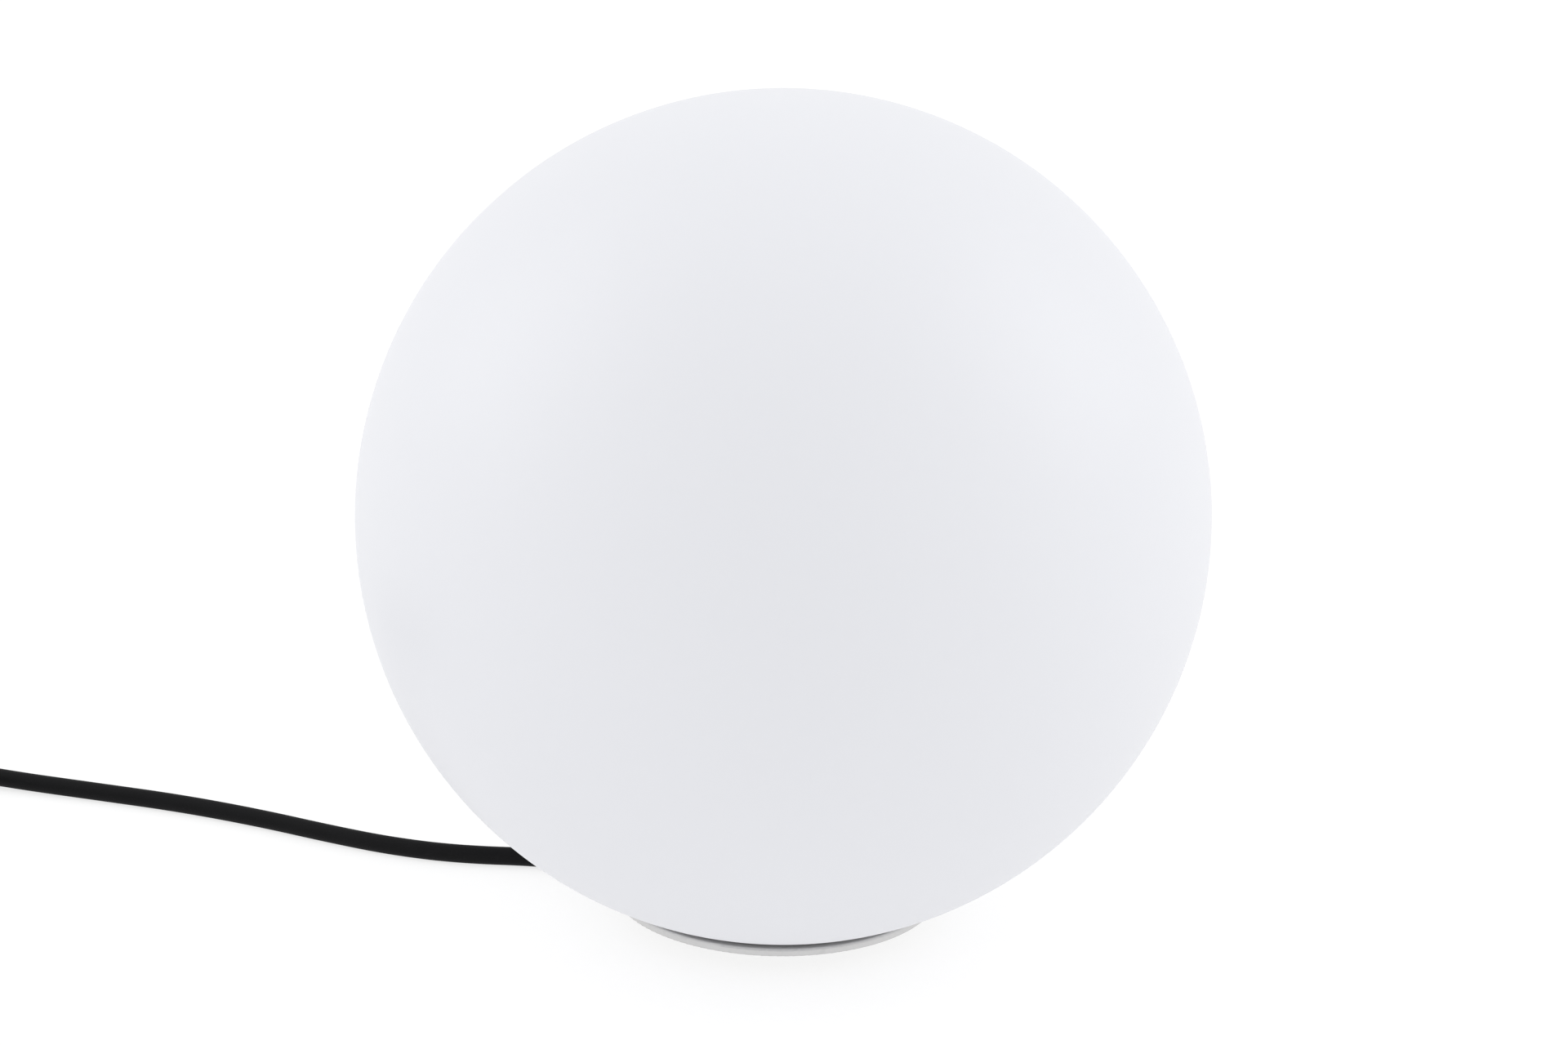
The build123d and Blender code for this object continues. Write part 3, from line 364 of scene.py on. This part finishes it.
def white_plastic(colours):
    """Moulded white plastic: faint flow marks, a fine grain, painted shade on the flange's top around the
    globe's foot, a painted shadow line along the rim's lower edge and scuffs on the rim.

    The marks lie between circles about the axis and between heights. The shader compares squared radii.
    """
    edge_from, edge_to = RIM_RADIUS - 0.0008, RIM_RADIUS - 0.0002
    foot_from, foot_to = FOOT_RADIUS - 0.001, FOOT_RADIUS
    # Radii between which the flange's top gets painted shade, as if shaded by the globe above it
    gap_shade_from, gap_shade_to = RIM_RADIUS - 0.0014, RIM_RADIUS - 0.0003
    flange_from, flange_to = GLOBE_LOW.z - 0.0007, GLOBE_LOW.z - 0.0004
    # Heights of the painted shadow line along the rim's lower edge
    rim_shadow_from, rim_shadow_to = GLOBE_LOW.z - 0.0031, GLOBE_LOW.z - 0.0023
    finish = Finish("white_plastic")
    flow_marks = finish.noise(size=0.03, detail=3.0, stretch=(1.0, 1.0, 0.3))
    grain = finish.noise(size=0.0006)
    x, y, z = (finish.axis(name) for name in "XYZ")
    out = x * x + y * y
    on_rim = finish.ramp(out, edge_from**2, edge_to**2)
    past_foot = finish.ramp(out, foot_from**2, foot_to**2)
    inward = 1 - finish.ramp(out, gap_shade_from**2, gap_shade_to**2)
    on_flange = finish.ramp(z, flange_from, flange_to)
    # Painted shadow: darker colour along the rim's lower edge, as if shaded from below the rim
    rim_painted_shadow = on_rim * (1 - finish.ramp(z, rim_shadow_from, rim_shadow_to))
    scuffs = on_rim * finish.ramp(finish.noise(size=0.0035, detail=4.0), 0.56, 0.70)
    # Painted shade: darker colour on the flange's top in the gap round the globe's foot, where the globe
    # shades it
    globe_gap_painted_shade = past_foot * inward * on_flange * (0.75 + 0.25 * finish.noise(size=0.004, detail=3.0))
    # Painted shade, the painted shadow line and real scuffs together darken the base colour
    painted_shade_and_scuffs = 0.6 * globe_gap_painted_shade + 0.35 * rim_painted_shadow + 0.08 * scuffs
    clean = finish.mix(shade(colours.white, 0.96), colours.white, flow_marks)
    return finish.close(
        Base_Color=finish.mix(clean, shade(colours.white, 0.4), painted_shade_and_scuffs),
        Roughness=0.42 + 0.12 * flow_marks + 0.2 * scuffs,
        Normal=finish.bump(grain, depth=0.00003, strength=0.6),
        IOR=PLASTIC_IOR,
    )


def rubber(name, colour, dusty):
    """Matte rubber: mottled with a trace of dust that is lighter by a factor, and a fine leathery skin."""
    finish = Finish(name)
    mottle = finish.noise(size=0.012, detail=4.0)
    grain = finish.noise(size=0.0009, detail=3.0)
    return finish.close(
        Base_Color=finish.mix(colour, shade(colour, dusty), mottle * mottle),
        Roughness=0.50 + 0.22 * mottle,
        Normal=finish.bump(grain, depth=0.00005, strength=0.7),
        Specular_IOR_Level=0.11,
    )


def metal(name, colour, dull, rough):
    """Plated metal: fine drawn lines, dull patches and a slightly uneven polish."""
    finish = Finish(name)
    lines = finish.noise(size=0.0007, stretch=(1.0, 1.0, 0.12))
    patches = finish.noise(size=0.006, detail=3.0)
    return finish.close(
        Base_Color=finish.mix(dull, colour, patches),
        Metallic=1.0,
        Roughness=rough + 0.12 * patches,
        Normal=finish.bump(lines, depth=0.00002, strength=0.5),
    )


def moulded(name, colour, rough, grain_depth, even=0.9):
    """Small moulded or lacquered piece: colour that is even to a share, and a fine grain."""
    finish = Finish(name)
    patches = finish.noise(size=0.008, detail=3.0)
    grain = finish.noise(size=0.0005)
    return finish.close(
        Base_Color=finish.mix(shade(colour, even), colour, patches),
        Roughness=rough + 0.1 * patches,
        Normal=finish.bump(grain, depth=grain_depth, strength=0.6),
        IOR=PLASTIC_IOR,
    )


def tie_strap(colour):
    """Woven strap: crossing threads on its UV map, in metres along and across it, and stray fibres."""
    warp_step, weft_step = 0.0011, 0.0009
    finish = Finish("tie_strap")
    flow = finish.flow
    unrolled = flow.node("ShaderNodeUVMap", {"uv_map": UNROLLED})
    along = flow.node("ShaderNodeSeparateXYZ", values={"Vector": unrolled}, out="X")
    across = flow.node("ShaderNodeSeparateXYZ", values={"Vector": unrolled}, out="Y")
    warp = flow.maths("SINE", across * (2 * math.pi / warp_step))
    weft = flow.maths("SINE", along * (2 * math.pi / weft_step))
    fuzz = finish.noise(size=0.0004, detail=3.0)
    weave = 0.35 + 0.25 * warp * weft + 0.4 * fuzz
    return finish.close(
        Base_Color=finish.mix(shade(colour, 0.4), shade(colour, 2.0), weave),
        Roughness=0.75 + 0.2 * fuzz,
        Normal=finish.bump(weave, depth=0.0002),
    )


def all_finishes(colours):
    """Every material by its slot in the record."""
    brass, dull_brass = (0.83, 0.62, 0.27), (0.62, 0.44, 0.19)
    steel, dull_steel = (0.66, 0.66, 0.65), (0.48, 0.48, 0.49)
    bright, dull_bright = (0.80, 0.80, 0.79), (0.62, 0.62, 0.63)
    dark, black = (0.03, 0.03, 0.033), (0.02, 0.02, 0.023)
    white, frosted = (0.80, 0.80, 0.78), (0.86, 0.86, 0.83)
    lacquer, phosphor = (0.74, 0.77, 0.74), (0.85, 0.66, 0.14)
    brown, blue = (0.16, 0.06, 0.025), (0.03, 0.11, 0.42)
    webbing = (0.035, 0.035, 0.038)
    fine, frost, coarse = 0.00001, 0.00003, 0.00004
    return {
        "opal_plastic": opal_plastic(colours),
        "white_plastic": white_plastic(colours),
        "lead_rubber": rubber("lead_rubber", colours.rubber, dusty=2.6),
        "seal_rubber": rubber("seal_rubber", colours.seal, dusty=1.8),
        "screw_steel": metal("screw_steel", steel, dull_steel, rough=0.28),
        "contact_brass": metal("contact_brass", brass, dull_brass, rough=0.22),
        "lamp_cap_metal": metal("lamp_cap_metal", bright, dull_bright, rough=0.25),
        "pin_metal": metal("pin_metal", bright, dull_bright, rough=0.16),
        "holder_plastic": moulded("holder_plastic", dark, rough=0.40, grain_depth=coarse),
        "lamp_insulator": moulded("lamp_insulator", black, rough=0.15, grain_depth=fine),
        "lamp_housing": moulded("lamp_housing", white, rough=0.25, grain_depth=fine, even=0.97),
        "lamp_dome": moulded("lamp_dome", frosted, rough=0.55, grain_depth=frost, even=0.98),
        "circuit_board": moulded("circuit_board", lacquer, rough=0.35, grain_depth=fine),
        "light_chip": moulded("light_chip", phosphor, rough=0.30, grain_depth=fine),
        "core_brown": moulded("core_brown", brown, rough=0.35, grain_depth=fine),
        "core_blue": moulded("core_blue", blue, rough=0.35, grain_depth=fine),
        "tie_strap": tie_strap(webbing),
    }


def material_of(slot):
    """The finish for a slot, made by the finishes operator."""
    found = bpy.data.materials.get(slot)
    if found is None:
        raise RuntimeError(f"the finish {slot} is missing: make the finishes first")
    return found


def skin(rings, first, last):
    """Closed surface through rings of points, with a fan of triangles to a pole at each end.

    Seen along the way from the first pole to the last, each ring runs anticlockwise, so faces point outwards.
    """
    rows, count, _ = rings.shape
    points = np.concatenate([rings.reshape(-1, 3), [first, last]])
    index = np.arange(rows * count).reshape(rows, count)
    after = np.roll(index, -1, axis=1)
    quads = np.stack([index[:-1], index[1:], after[1:], after[:-1]], axis=2).reshape(-1, 4)
    first_fan = np.stack([np.full(count, rows * count), index[0], after[0]], axis=1)
    last_fan = np.stack([np.full(count, rows * count + 1), after[-1], index[-1]], axis=1)
    return points, quads.tolist() + first_fan.tolist() + last_fan.tolist()


def oval(count, power):
    """Unit outline of count points: (sgn c |c|^(2/power), sgn s |s|^(2/power)) for the cosine c and sine s.

    A power of 2 is a circle, and a larger one is squarer.
    """
    angle = 2 * np.pi * np.arange(count) / count
    c, s = np.cos(angle), np.sin(angle)
    return np.stack([np.sign(c) * np.abs(c) ** (2 / power), np.sign(s) * np.abs(s) ** (2 / power)], axis=1)


def lathe(profile, count):
    """Closed surface of revolution about Z from (radius, height) rows, which start and end on the axis.

    Point (i, k) lies at (r_i cos a_k, r_i sin a_k, z_i) with a_k = 2 pi k / count.
    """
    radius, height = profile[1:-1, 0], profile[1:-1, 1]
    ring = radius[:, None, None] * oval(count, CIRCLE)
    level = np.broadcast_to(height[:, None, None], (len(height), count, 1))
    return skin(np.concatenate([ring, level], axis=2), (0, 0, profile[0, 1]), (0, 0, profile[-1, 1]))


def along_x(x, half_y, half_z, middle, power, count):
    """Closed surface round a line along X: at each x the oval times the half sizes, about the middle."""
    outline = oval(count, power)
    y = middle[0] - half_y[:, None] * outline[:, 0]
    z = middle[1] + half_z[:, None] * outline[:, 1]
    rings = np.stack([np.broadcast_to(x[:, None], y.shape), y, z], axis=2)
    return skin(rings, (x[0], *middle), (x[-1], *middle))


def stations(low, high, low_edge, high_edge, count):
    """Places from low to high: count even ones, and closer ones in the rounded edge at each end.

    In an edge they lie at the edge times 1 - cos t, over a quarter turn.
    """
    ease = 1 - np.cos(np.linspace(0, np.pi / 2, EDGE_STEPS))
    even = np.linspace(low + low_edge, high - high_edge, count)
    places = np.concatenate([low + low_edge * ease, even, high - high_edge * ease])
    return np.unique(places.round(7))


def smooth_step(share):
    """Share s from 0 to 1 with soft ends: 3 s^2 - 2 s^3."""
    held = np.clip(share, 0, 1)
    return held * held * (3 - 2 * held)


def rounding(depth, radius):
    """How far a rounded edge draws in at a depth from the end: r - sqrt(r^2 - (r - depth)^2)."""
    short = radius - np.clip(depth, 0, radius)
    return radius - np.sqrt(radius**2 - short**2)


def grooves(x, places, half, depth):
    """How far soft grooves draw in: depth times cos^2 over each groove's width."""
    away = np.minimum(np.abs(x[:, None] - places), half)
    return (depth * np.cos(np.pi * away / (2 * half)) ** 2).sum(axis=1)


def new_piece(name, points, faces, slot, body, crease=CREASE, unrolled=None):
    """A mesh piece that rides on a body, smooth except where its faces meet at more than the crease angle.

    unrolled gives each point its place on the UV map.
    """
    mesh = bpy.data.meshes.new(name)
    mesh.from_pydata(points.tolist(), [], faces)
    mesh.shade_smooth()
    mesh.set_sharp_from_angle(angle=crease)
    mesh.materials.append(material_of(slot))
    if unrolled is not None:
        corners = np.empty(len(mesh.loops), dtype=np.int32)
        mesh.loops.foreach_get("vertex_index", corners)
        mesh.uv_layers.new(name=UNROLLED).data.foreach_set("uv", unrolled[corners].ravel())
    mesh.update()
    piece = bpy.data.objects.new(name, mesh)
    bpy.context.scene.collection.objects.link(piece)
    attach(piece, body)
    return piece


def globe_profile(sizes):
    """Half section of the globe from its top pole outside to its top pole inside.

    Two arcs about the globe's middle, r = R sin t and z = Z + R cos t, joined by the flat foot with the
    seal's groove under it and the mouth's edge.
    """
    middle = GLOBE_HIGH.z - sizes.radius
    low = GLOBE_LOW.z
    inner = sizes.radius - sizes.wall
    foot_top = low + sizes.foot
    groove_top = low + sizes.groove_depth
    outer_end = math.acos((low - middle) / sizes.radius)
    inner_end = math.acos((foot_top - middle) / inner)
    t = np.linspace(0, outer_end, sizes.along + 1)
    outside = np.stack([sizes.radius * np.sin(t), middle + sizes.radius * np.cos(t)], axis=1)
    foot = np.array(
        [
            (sizes.groove_outer, low),
            (sizes.groove_outer, groove_top),
            (sizes.groove_inner, groove_top),
            (sizes.groove_inner, low),
            (sizes.mouth, low),
            (sizes.mouth, foot_top),
        ]
    )
    u = np.linspace(inner_end, 0, sizes.along // 2 + 1)
    inside = np.stack([inner * np.sin(u), middle + inner * np.cos(u)], axis=1)
    outside[0, 0] = inside[-1, 0] = 0.0
    return np.concatenate([outside, foot, inside])


def coil_points(per_turn):
    """Control points of the coil: in along the lower layer, up a layer in the reversing half turn, and out.

    At turn t the point lies at angle pi/2 + 2 pi t. The radius shrinks by a step a turn, turns back in the
    climb and grows again. The control polygon is wider than the curve by 1 / cos(pi / points a turn).
    """
    turns = 2 * COIL_TURNS + COIL_CLIMB
    t = np.linspace(0, turns, round(turns * per_turn) + 1)
    angle = np.pi / 2 + 2 * np.pi * t
    past = t - COIL_TURNS
    back = np.minimum(past, COIL_CLIMB - past)
    steps = np.where(past <= 0, past, np.where(past <= COIL_CLIMB, back, COIL_CLIMB - past))
    radius = (COIL_INNER - COIL_STEP * steps) / math.cos(math.pi / per_turn)
    height = COIL_LOW_Z + COIL_LAYER * np.clip(past / COIL_CLIMB, 0, 1)
    x = COIL_CENTRE[0] + radius * np.cos(angle)
    y = COIL_CENTRE[1] + radius * np.sin(angle)
    return np.stack([x, y, height], axis=1)


def plug_shell(sizes):
    """Plug body along X: an oval that swells by a smooth step, less its edges and grip grooves."""
    low, high = PLUG_LOW.x, PLUG_HIGH.x
    x = stations(low, high, sizes.rear_edge, sizes.face_edge, PLUG_ALONG)
    grow = smooth_step((x - low) / sizes.taper)
    places = low + sizes.grip_start + sizes.grip_step * np.arange(sizes.grips)
    inset = rounding(x - low, sizes.rear_edge) + rounding(high - x, sizes.face_edge)
    inset += grooves(x, places, sizes.grip_half, sizes.grip_depth)
    wide_y, wide_z = (PLUG_HIGH.y - PLUG_LOW.y) / 2, (PLUG_HIGH.z - PLUG_LOW.z) / 2
    rear_y, rear_z = sizes.rear_width / 2, sizes.rear_height / 2
    half_y = rear_y + (wide_y - rear_y) * grow - inset
    half_z = rear_z + (wide_z - rear_z) * grow - inset
    return along_x(x, half_y, half_z, PLUG_MIDDLE, PLUG_SQUARE, PLUG_ROUND)


def plug_relief(sizes):
    """Bend relief along X: a cone with rounded tip and soft grooves. Its root reaches into the plug."""
    low, root = RELIEF_LOW.x, RELIEF_HIGH.x
    x = stations(low, root + sizes.rear_edge / 2, TIP_EDGE, ROOT_EDGE, RELIEF_ALONG)
    share = np.clip((x - low) / (root - low), 0, 1)
    places = low + (root - low) * np.arange(1, sizes.relief_grooves + 1) / (sizes.relief_grooves + 1)
    radius = sizes.relief_tip + (sizes.relief_root - sizes.relief_tip) * share
    radius -= rounding(x - low, TIP_EDGE) + grooves(x, places, sizes.relief_half, sizes.relief_depth)
    return along_x(x, radius, radius, PLUG_MIDDLE, CIRCLE, RELIEF_ROUND)


def plug_prongs(sizes):
    """Both round pins along X: a circle at each x, drawn in by the rounding of the nose."""
    low, high = PINS_LOW.x, PINS_HIGH.x
    radius = (PINS_HIGH.z - PINS_LOW.z) / 2
    x = stations(low, high, ROOT_EDGE, sizes.pin_nose, PIN_ALONG)
    reach = radius - rounding(high - x, sizes.pin_nose)
    left_middle = (PINS_LOW.y + radius, PLUG_MIDDLE[1])
    right_middle = (PINS_HIGH.y - radius, PLUG_MIDDLE[1])
    left, faces = along_x(x, reach, reach, left_middle, CIRCLE, PIN_ROUND)
    right, _ = along_x(x, reach, reach, right_middle, CIRCLE, PIN_ROUND)
    right_faces = [[corner + len(left) for corner in face] for face in faces]
    return np.concatenate([left, right]), faces + right_faces


def strap(sizes):
    """Strap round the coil's bundle, with each point's place on its UV map.

    Its middle line runs round a rounded rectangle from the middle of the top, towards +X, and then on over
    its own start. The tail lies further out, by a smooth step, and its end lifts a little.
    """
    middle = [(low + high) / 2 for low, high in zip(TIE_LOW, TIE_HIGH)]
    half = sizes.thickness / 2
    half_x, half_z = (TIE_HIGH.x - TIE_LOW.x) / 2 - half, (TIE_HIGH.z - TIE_LOW.z) / 2 - half
    quarter = np.arange(4)[:, None] * np.pi / 2
    angle = (np.pi / 2 - quarter - np.linspace(0, np.pi / 2, CORNER_STEPS)).ravel()
    right = np.repeat([1, 1, -1, -1], CORNER_STEPS) * (half_x - sizes.corner) + sizes.corner * np.cos(angle)
    up = np.repeat([1, -1, -1, 1], CORNER_STEPS) * (half_z - sizes.corner) + sizes.corner * np.sin(angle)
    loop = np.stack([right, up, np.cos(angle), np.sin(angle)], axis=1)
    top = np.array([[0, half_z, 0, 1]])
    loop = np.concatenate([top, loop, top])
    way = np.concatenate([[0], np.cumsum(np.linalg.norm(np.diff(loop[:, :2], axis=0), axis=1))])
    round_once = way[-1]
    run = np.linspace(0, round_once + sizes.overlap, STRAP_ALONG)
    line = np.stack([np.interp(run % round_once, way, column) for column in loop.T], axis=1)
    step = smooth_step((run - round_once + STRAP_STEP_BEFORE) / STRAP_STEP)
    tail = np.clip((run - round_once) / sizes.overlap, 0, 1)
    lift = STRAP_STEP_OUT * sizes.thickness * step + sizes.tail_lift * tail**2
    outline = oval(STRAP_ROUND, STRAP_SQUARE)
    out = lift[:, None] + half * outline[:, 1]
    across = np.broadcast_to(-(TIE_HIGH.y - TIE_LOW.y) / 2 * outline[:, 0], out.shape)
    x = middle[0] + line[:, :1] + out * line[:, 2:3]
    z = middle[2] + line[:, 1:2] + out * line[:, 3:4]
    rings = np.stack([x, middle[1] + across, z], axis=2)
    points, faces = skin(rings, rings[0].mean(axis=0), rings[-1].mean(axis=0))
    unrolled = np.stack([np.broadcast_to(run[:, None], out.shape), across], axis=2).reshape(-1, 2)
    ends = [(0, 0), (run[-1], 0)]
    return points, faces, np.concatenate([unrolled, ends])


class LAMP_OT_camera(bpy.types.Operator):
    """Place the camera at the photograph's viewing angle"""

    bl_idname = "lamp.camera"
    bl_label = "Camera"

    def execute(self, context):
        stage = context.scene.lamp_stage
        middle = Vector((0, 0, GLOBE_MIDDLE))
        level = math.cos(stage.height_angle)
        back = Vector(
            (
                math.sin(stage.round_angle) * level,
                -math.cos(stage.round_angle) * level,
                math.sin(stage.height_angle),
            )
        )
        data = bpy.data.cameras.new("camera")
        data.lens = stage.lens
        data.sensor_width = SENSOR_W
        data.sensor_fit = "HORIZONTAL"
        data.shift_x = -stage.across / IMAGE_W
        data.shift_y = stage.down / IMAGE_W
        camera = bpy.data.objects.new("camera", data)
        turn = back.to_track_quat("Z", "Y").to_matrix().to_4x4() @ Matrix.Rotation(stage.roll, 4, "Z")
        camera.matrix_world = Matrix.Translation(middle + back * stage.distance) @ turn
        context.scene.collection.objects.link(camera)
        context.scene.camera = camera
        return {"FINISHED"}


class LAMP_OT_finishes(bpy.types.Operator):
    """Make the materials and give each node of the model its own"""

    bl_idname = "lamp.finishes"
    bl_label = "Finishes"

    def execute(self, context):
        nodes = frame["nodes"].values()
        imported = {node.material_slots[0].material for node in nodes if node.material_slots}
        for material in imported:
            material.name = "packed_" + material.name
        made = all_finishes(context.scene.lamp_colours)
        for row in frame["record"]["subparts"]:
            node = frame["nodes"][row["node"]]
            if not node.material_slots:
                raise RuntimeError(f"{node.name} has no material slot")
            for place in node.material_slots:
                place.material = made[row["material_slot"]]
        return {"FINISHED"}


class LAMP_OT_plug(bpy.types.Operator):
    """Make the plug's body, bend relief and pins"""

    bl_idname = "lamp.plug"
    bl_label = "Plug"

    def execute(self, context):
        sizes = context.scene.lamp_plug
        shell = new_piece("plug_shell", *plug_shell(sizes), "lead_rubber", "base")
        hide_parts("plug_body")
        relief = new_piece("plug_relief", *plug_relief(sizes), "lead_rubber", "base")
        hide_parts("plug_boot")
        prongs = new_piece("plug_prongs", *plug_prongs(sizes), "pin_metal", "base")
        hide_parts("plug_pins")
        return {"FINISHED"}


class LAMP_OT_strap(bpy.types.Operator):
    """Make the woven strap that ties the coil"""

    bl_idname = "lamp.strap"
    bl_label = "Strap"

    def execute(self, context):
        points, faces, unrolled = strap(context.scene.lamp_strap)
        piece = new_piece("coil_strap", points, faces, "tie_strap", "base", unrolled=unrolled)
        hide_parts("coil_tie")
        return {"FINISHED"}


class LAMP_OT_lead(bpy.types.Operator):
    """Lay the mains lead from the base to its coil and plug as one spline"""

    bl_idname = "lamp.lead"
    bl_label = "Mains lead"

    def execute(self, context):
        sizes = context.scene.lamp_lead
        coil = coil_points(sizes.per_turn)
        points = np.concatenate([np.array(LEAD_ROUTE), coil, np.array([PLUG_ENTRY])])
        curve = bpy.data.curves.new("lead", "CURVE")
        curve.dimensions = "3D"
        curve.resolution_u = LEAD_STEPS
        curve.bevel_depth = sizes.diameter / 2
        curve.bevel_resolution = LEAD_ROUND
        curve.use_fill_caps = True
        spline = curve.splines.new("NURBS")
        spline.points.add(len(points) - 1)
        weights = np.ones((len(points), 1))
        spline.points.foreach_set("co", np.concatenate([points, weights], axis=1).ravel())
        spline.order_u = 3
        spline.use_endpoint_u = True
        spline.use_smooth = True
        curve.materials.append(material_of("lead_rubber"))
        lead = bpy.data.objects.new("lead", curve)
        context.scene.collection.objects.link(lead)
        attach(lead, "base")
        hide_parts("cord_free", "cord_coil")
        return {"FINISHED"}


class LAMP_OT_globe(bpy.types.Operator):
    """Make the opal globe's smooth shell"""

    bl_idname = "lamp.globe"
    bl_label = "Globe"

    def execute(self, context):
        sizes = context.scene.lamp_globe
        points, faces = lathe(globe_profile(sizes), sizes.around)
        globe = new_piece("globe_shell", points, faces, "opal_plastic", "globe", GLOBE_CREASE)
        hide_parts("globe")
        return {"FINISHED"}


class LAMP_OT_stage(bpy.types.Operator):
    """Set up the pale floor and the soft light"""

    bl_idname = "lamp.stage"
    bl_label = "Stage"

    def execute(self, context):
        stage = context.scene.lamp_stage
        self.lay_floor(context.scene, stage)
        self.hang_light(context.scene, "light_left", LEFT_LIGHT, SIDE_LIGHT_SIZE, stage.left)
        self.hang_light(context.scene, "light_right", RIGHT_LIGHT, SIDE_LIGHT_SIZE, stage.right)
        self.hang_light(context.scene, "light_top", TOP_LIGHT, TOP_LIGHT_SIZE, stage.top)
        world = bpy.data.worlds.new("even_light")
        world.use_nodes = True
        world.node_tree.nodes.clear()
        flow = Flow(world.node_tree)
        sky = flow.node("ShaderNodeBackground", values={"Color": SKY_COLOUR, "Strength": stage.sky})
        flow.node("ShaderNodeOutputWorld", values={"Surface": sky})
        context.scene.world = world
        context.scene.view_settings.view_transform = "Standard"
        return {"FINISHED"}

    @staticmethod
    def lay_floor(scene, stage):
        """A square pale floor that glows a little, as a lit studio table does."""
        half = FLOOR_HALF
        points = [(-half, -half, 0.0), (half, -half, 0.0), (half, half, 0.0), (-half, half, 0.0)]
        mesh = bpy.data.meshes.new("floor")
        mesh.from_pydata(points, [], [(0, 1, 2, 3)])
        finish = Finish("floor_paper")
        fibres = finish.noise(size=0.004, detail=3.0)
        mesh.materials.append(
            finish.close(
                Base_Color=finish.mix(PAPER_FIBRE, PAPER, fibres),
                Roughness=0.9,
                Emission_Color=GLOW_COLOUR,
                Emission_Strength=stage.floor_glow,
                Specular_IOR_Level=0.1,
            )
        )
        floor = bpy.data.objects.new("floor", mesh)
        scene.collection.objects.link(floor)

    @staticmethod
    def hang_light(scene, name, place, size, power):
        """A square soft light that faces the lamp. Its place turns with the camera's angle round the lamp."""
        data = bpy.data.lights.new(name, "AREA")
        data.shape = "SQUARE"
        data.size = size
        data.energy = power
        light = bpy.data.objects.new(name, data)
        light.location = Matrix.Rotation(scene.lamp_stage.round_angle, 3, "Z") @ Vector(place)
        lamp = Vector((0, 0, GLOBE_HIGH.z / 2))
        light.rotation_euler = (light.location - lamp).to_track_quat("Z", "Y").to_euler()
        scene.collection.objects.link(light)


class LAMP_PT_sidebar(bpy.types.Panel):
    """Sizes, colours and making steps of the lamp"""

    bl_idname = "LAMP_PT_sidebar"
    bl_label = "Globe Lamp"
    bl_space_type = "VIEW_3D"
    bl_region_type = "UI"
    bl_category = "Globe Lamp"

    def draw(self, context):
        for title in GROUPS:
            group = getattr(context.scene, title)
            box = self.layout.box()
            for name in group.__annotations__:
                box.prop(group, name)
        for step in STEPS:
            self.layout.operator(step.bl_idname)


STEPS = (
    LAMP_OT_camera,
    LAMP_OT_finishes,
    LAMP_OT_plug,
    LAMP_OT_strap,
    LAMP_OT_lead,
    LAMP_OT_globe,
    LAMP_OT_stage,
)
GROUPS = {
    "lamp_globe": GlobeSizes,
    "lamp_lead": LeadSizes,
    "lamp_plug": PlugSizes,
    "lamp_strap": StrapSizes,
    "lamp_colours": Finishes,
    "lamp_stage": StageSettings,
}


def register():
    """Add the classes and hang the property groups on the scene."""
    for cls in (*GROUPS.values(), *STEPS, LAMP_PT_sidebar):
        bpy.utils.register_class(cls)
    for name, group in GROUPS.items():
        setattr(bpy.types.Scene, name, PointerProperty(type=group))


def unregister():
    """Take the property groups and the classes away again."""
    for name in GROUPS:
        delattr(bpy.types.Scene, name)
    for cls in (LAMP_PT_sidebar, *reversed(STEPS), *reversed(GROUPS.values())):
        bpy.utils.unregister_class(cls)


def main():
    """Make every piece in order."""
    register()
    bpy.ops.lamp.camera()
    bpy.ops.lamp.finishes()
    bpy.ops.lamp.plug()
    bpy.ops.lamp.strap()
    bpy.ops.lamp.lead()
    bpy.ops.lamp.globe()
    bpy.ops.lamp.stage()


if __name__ == "__main__":
    main()
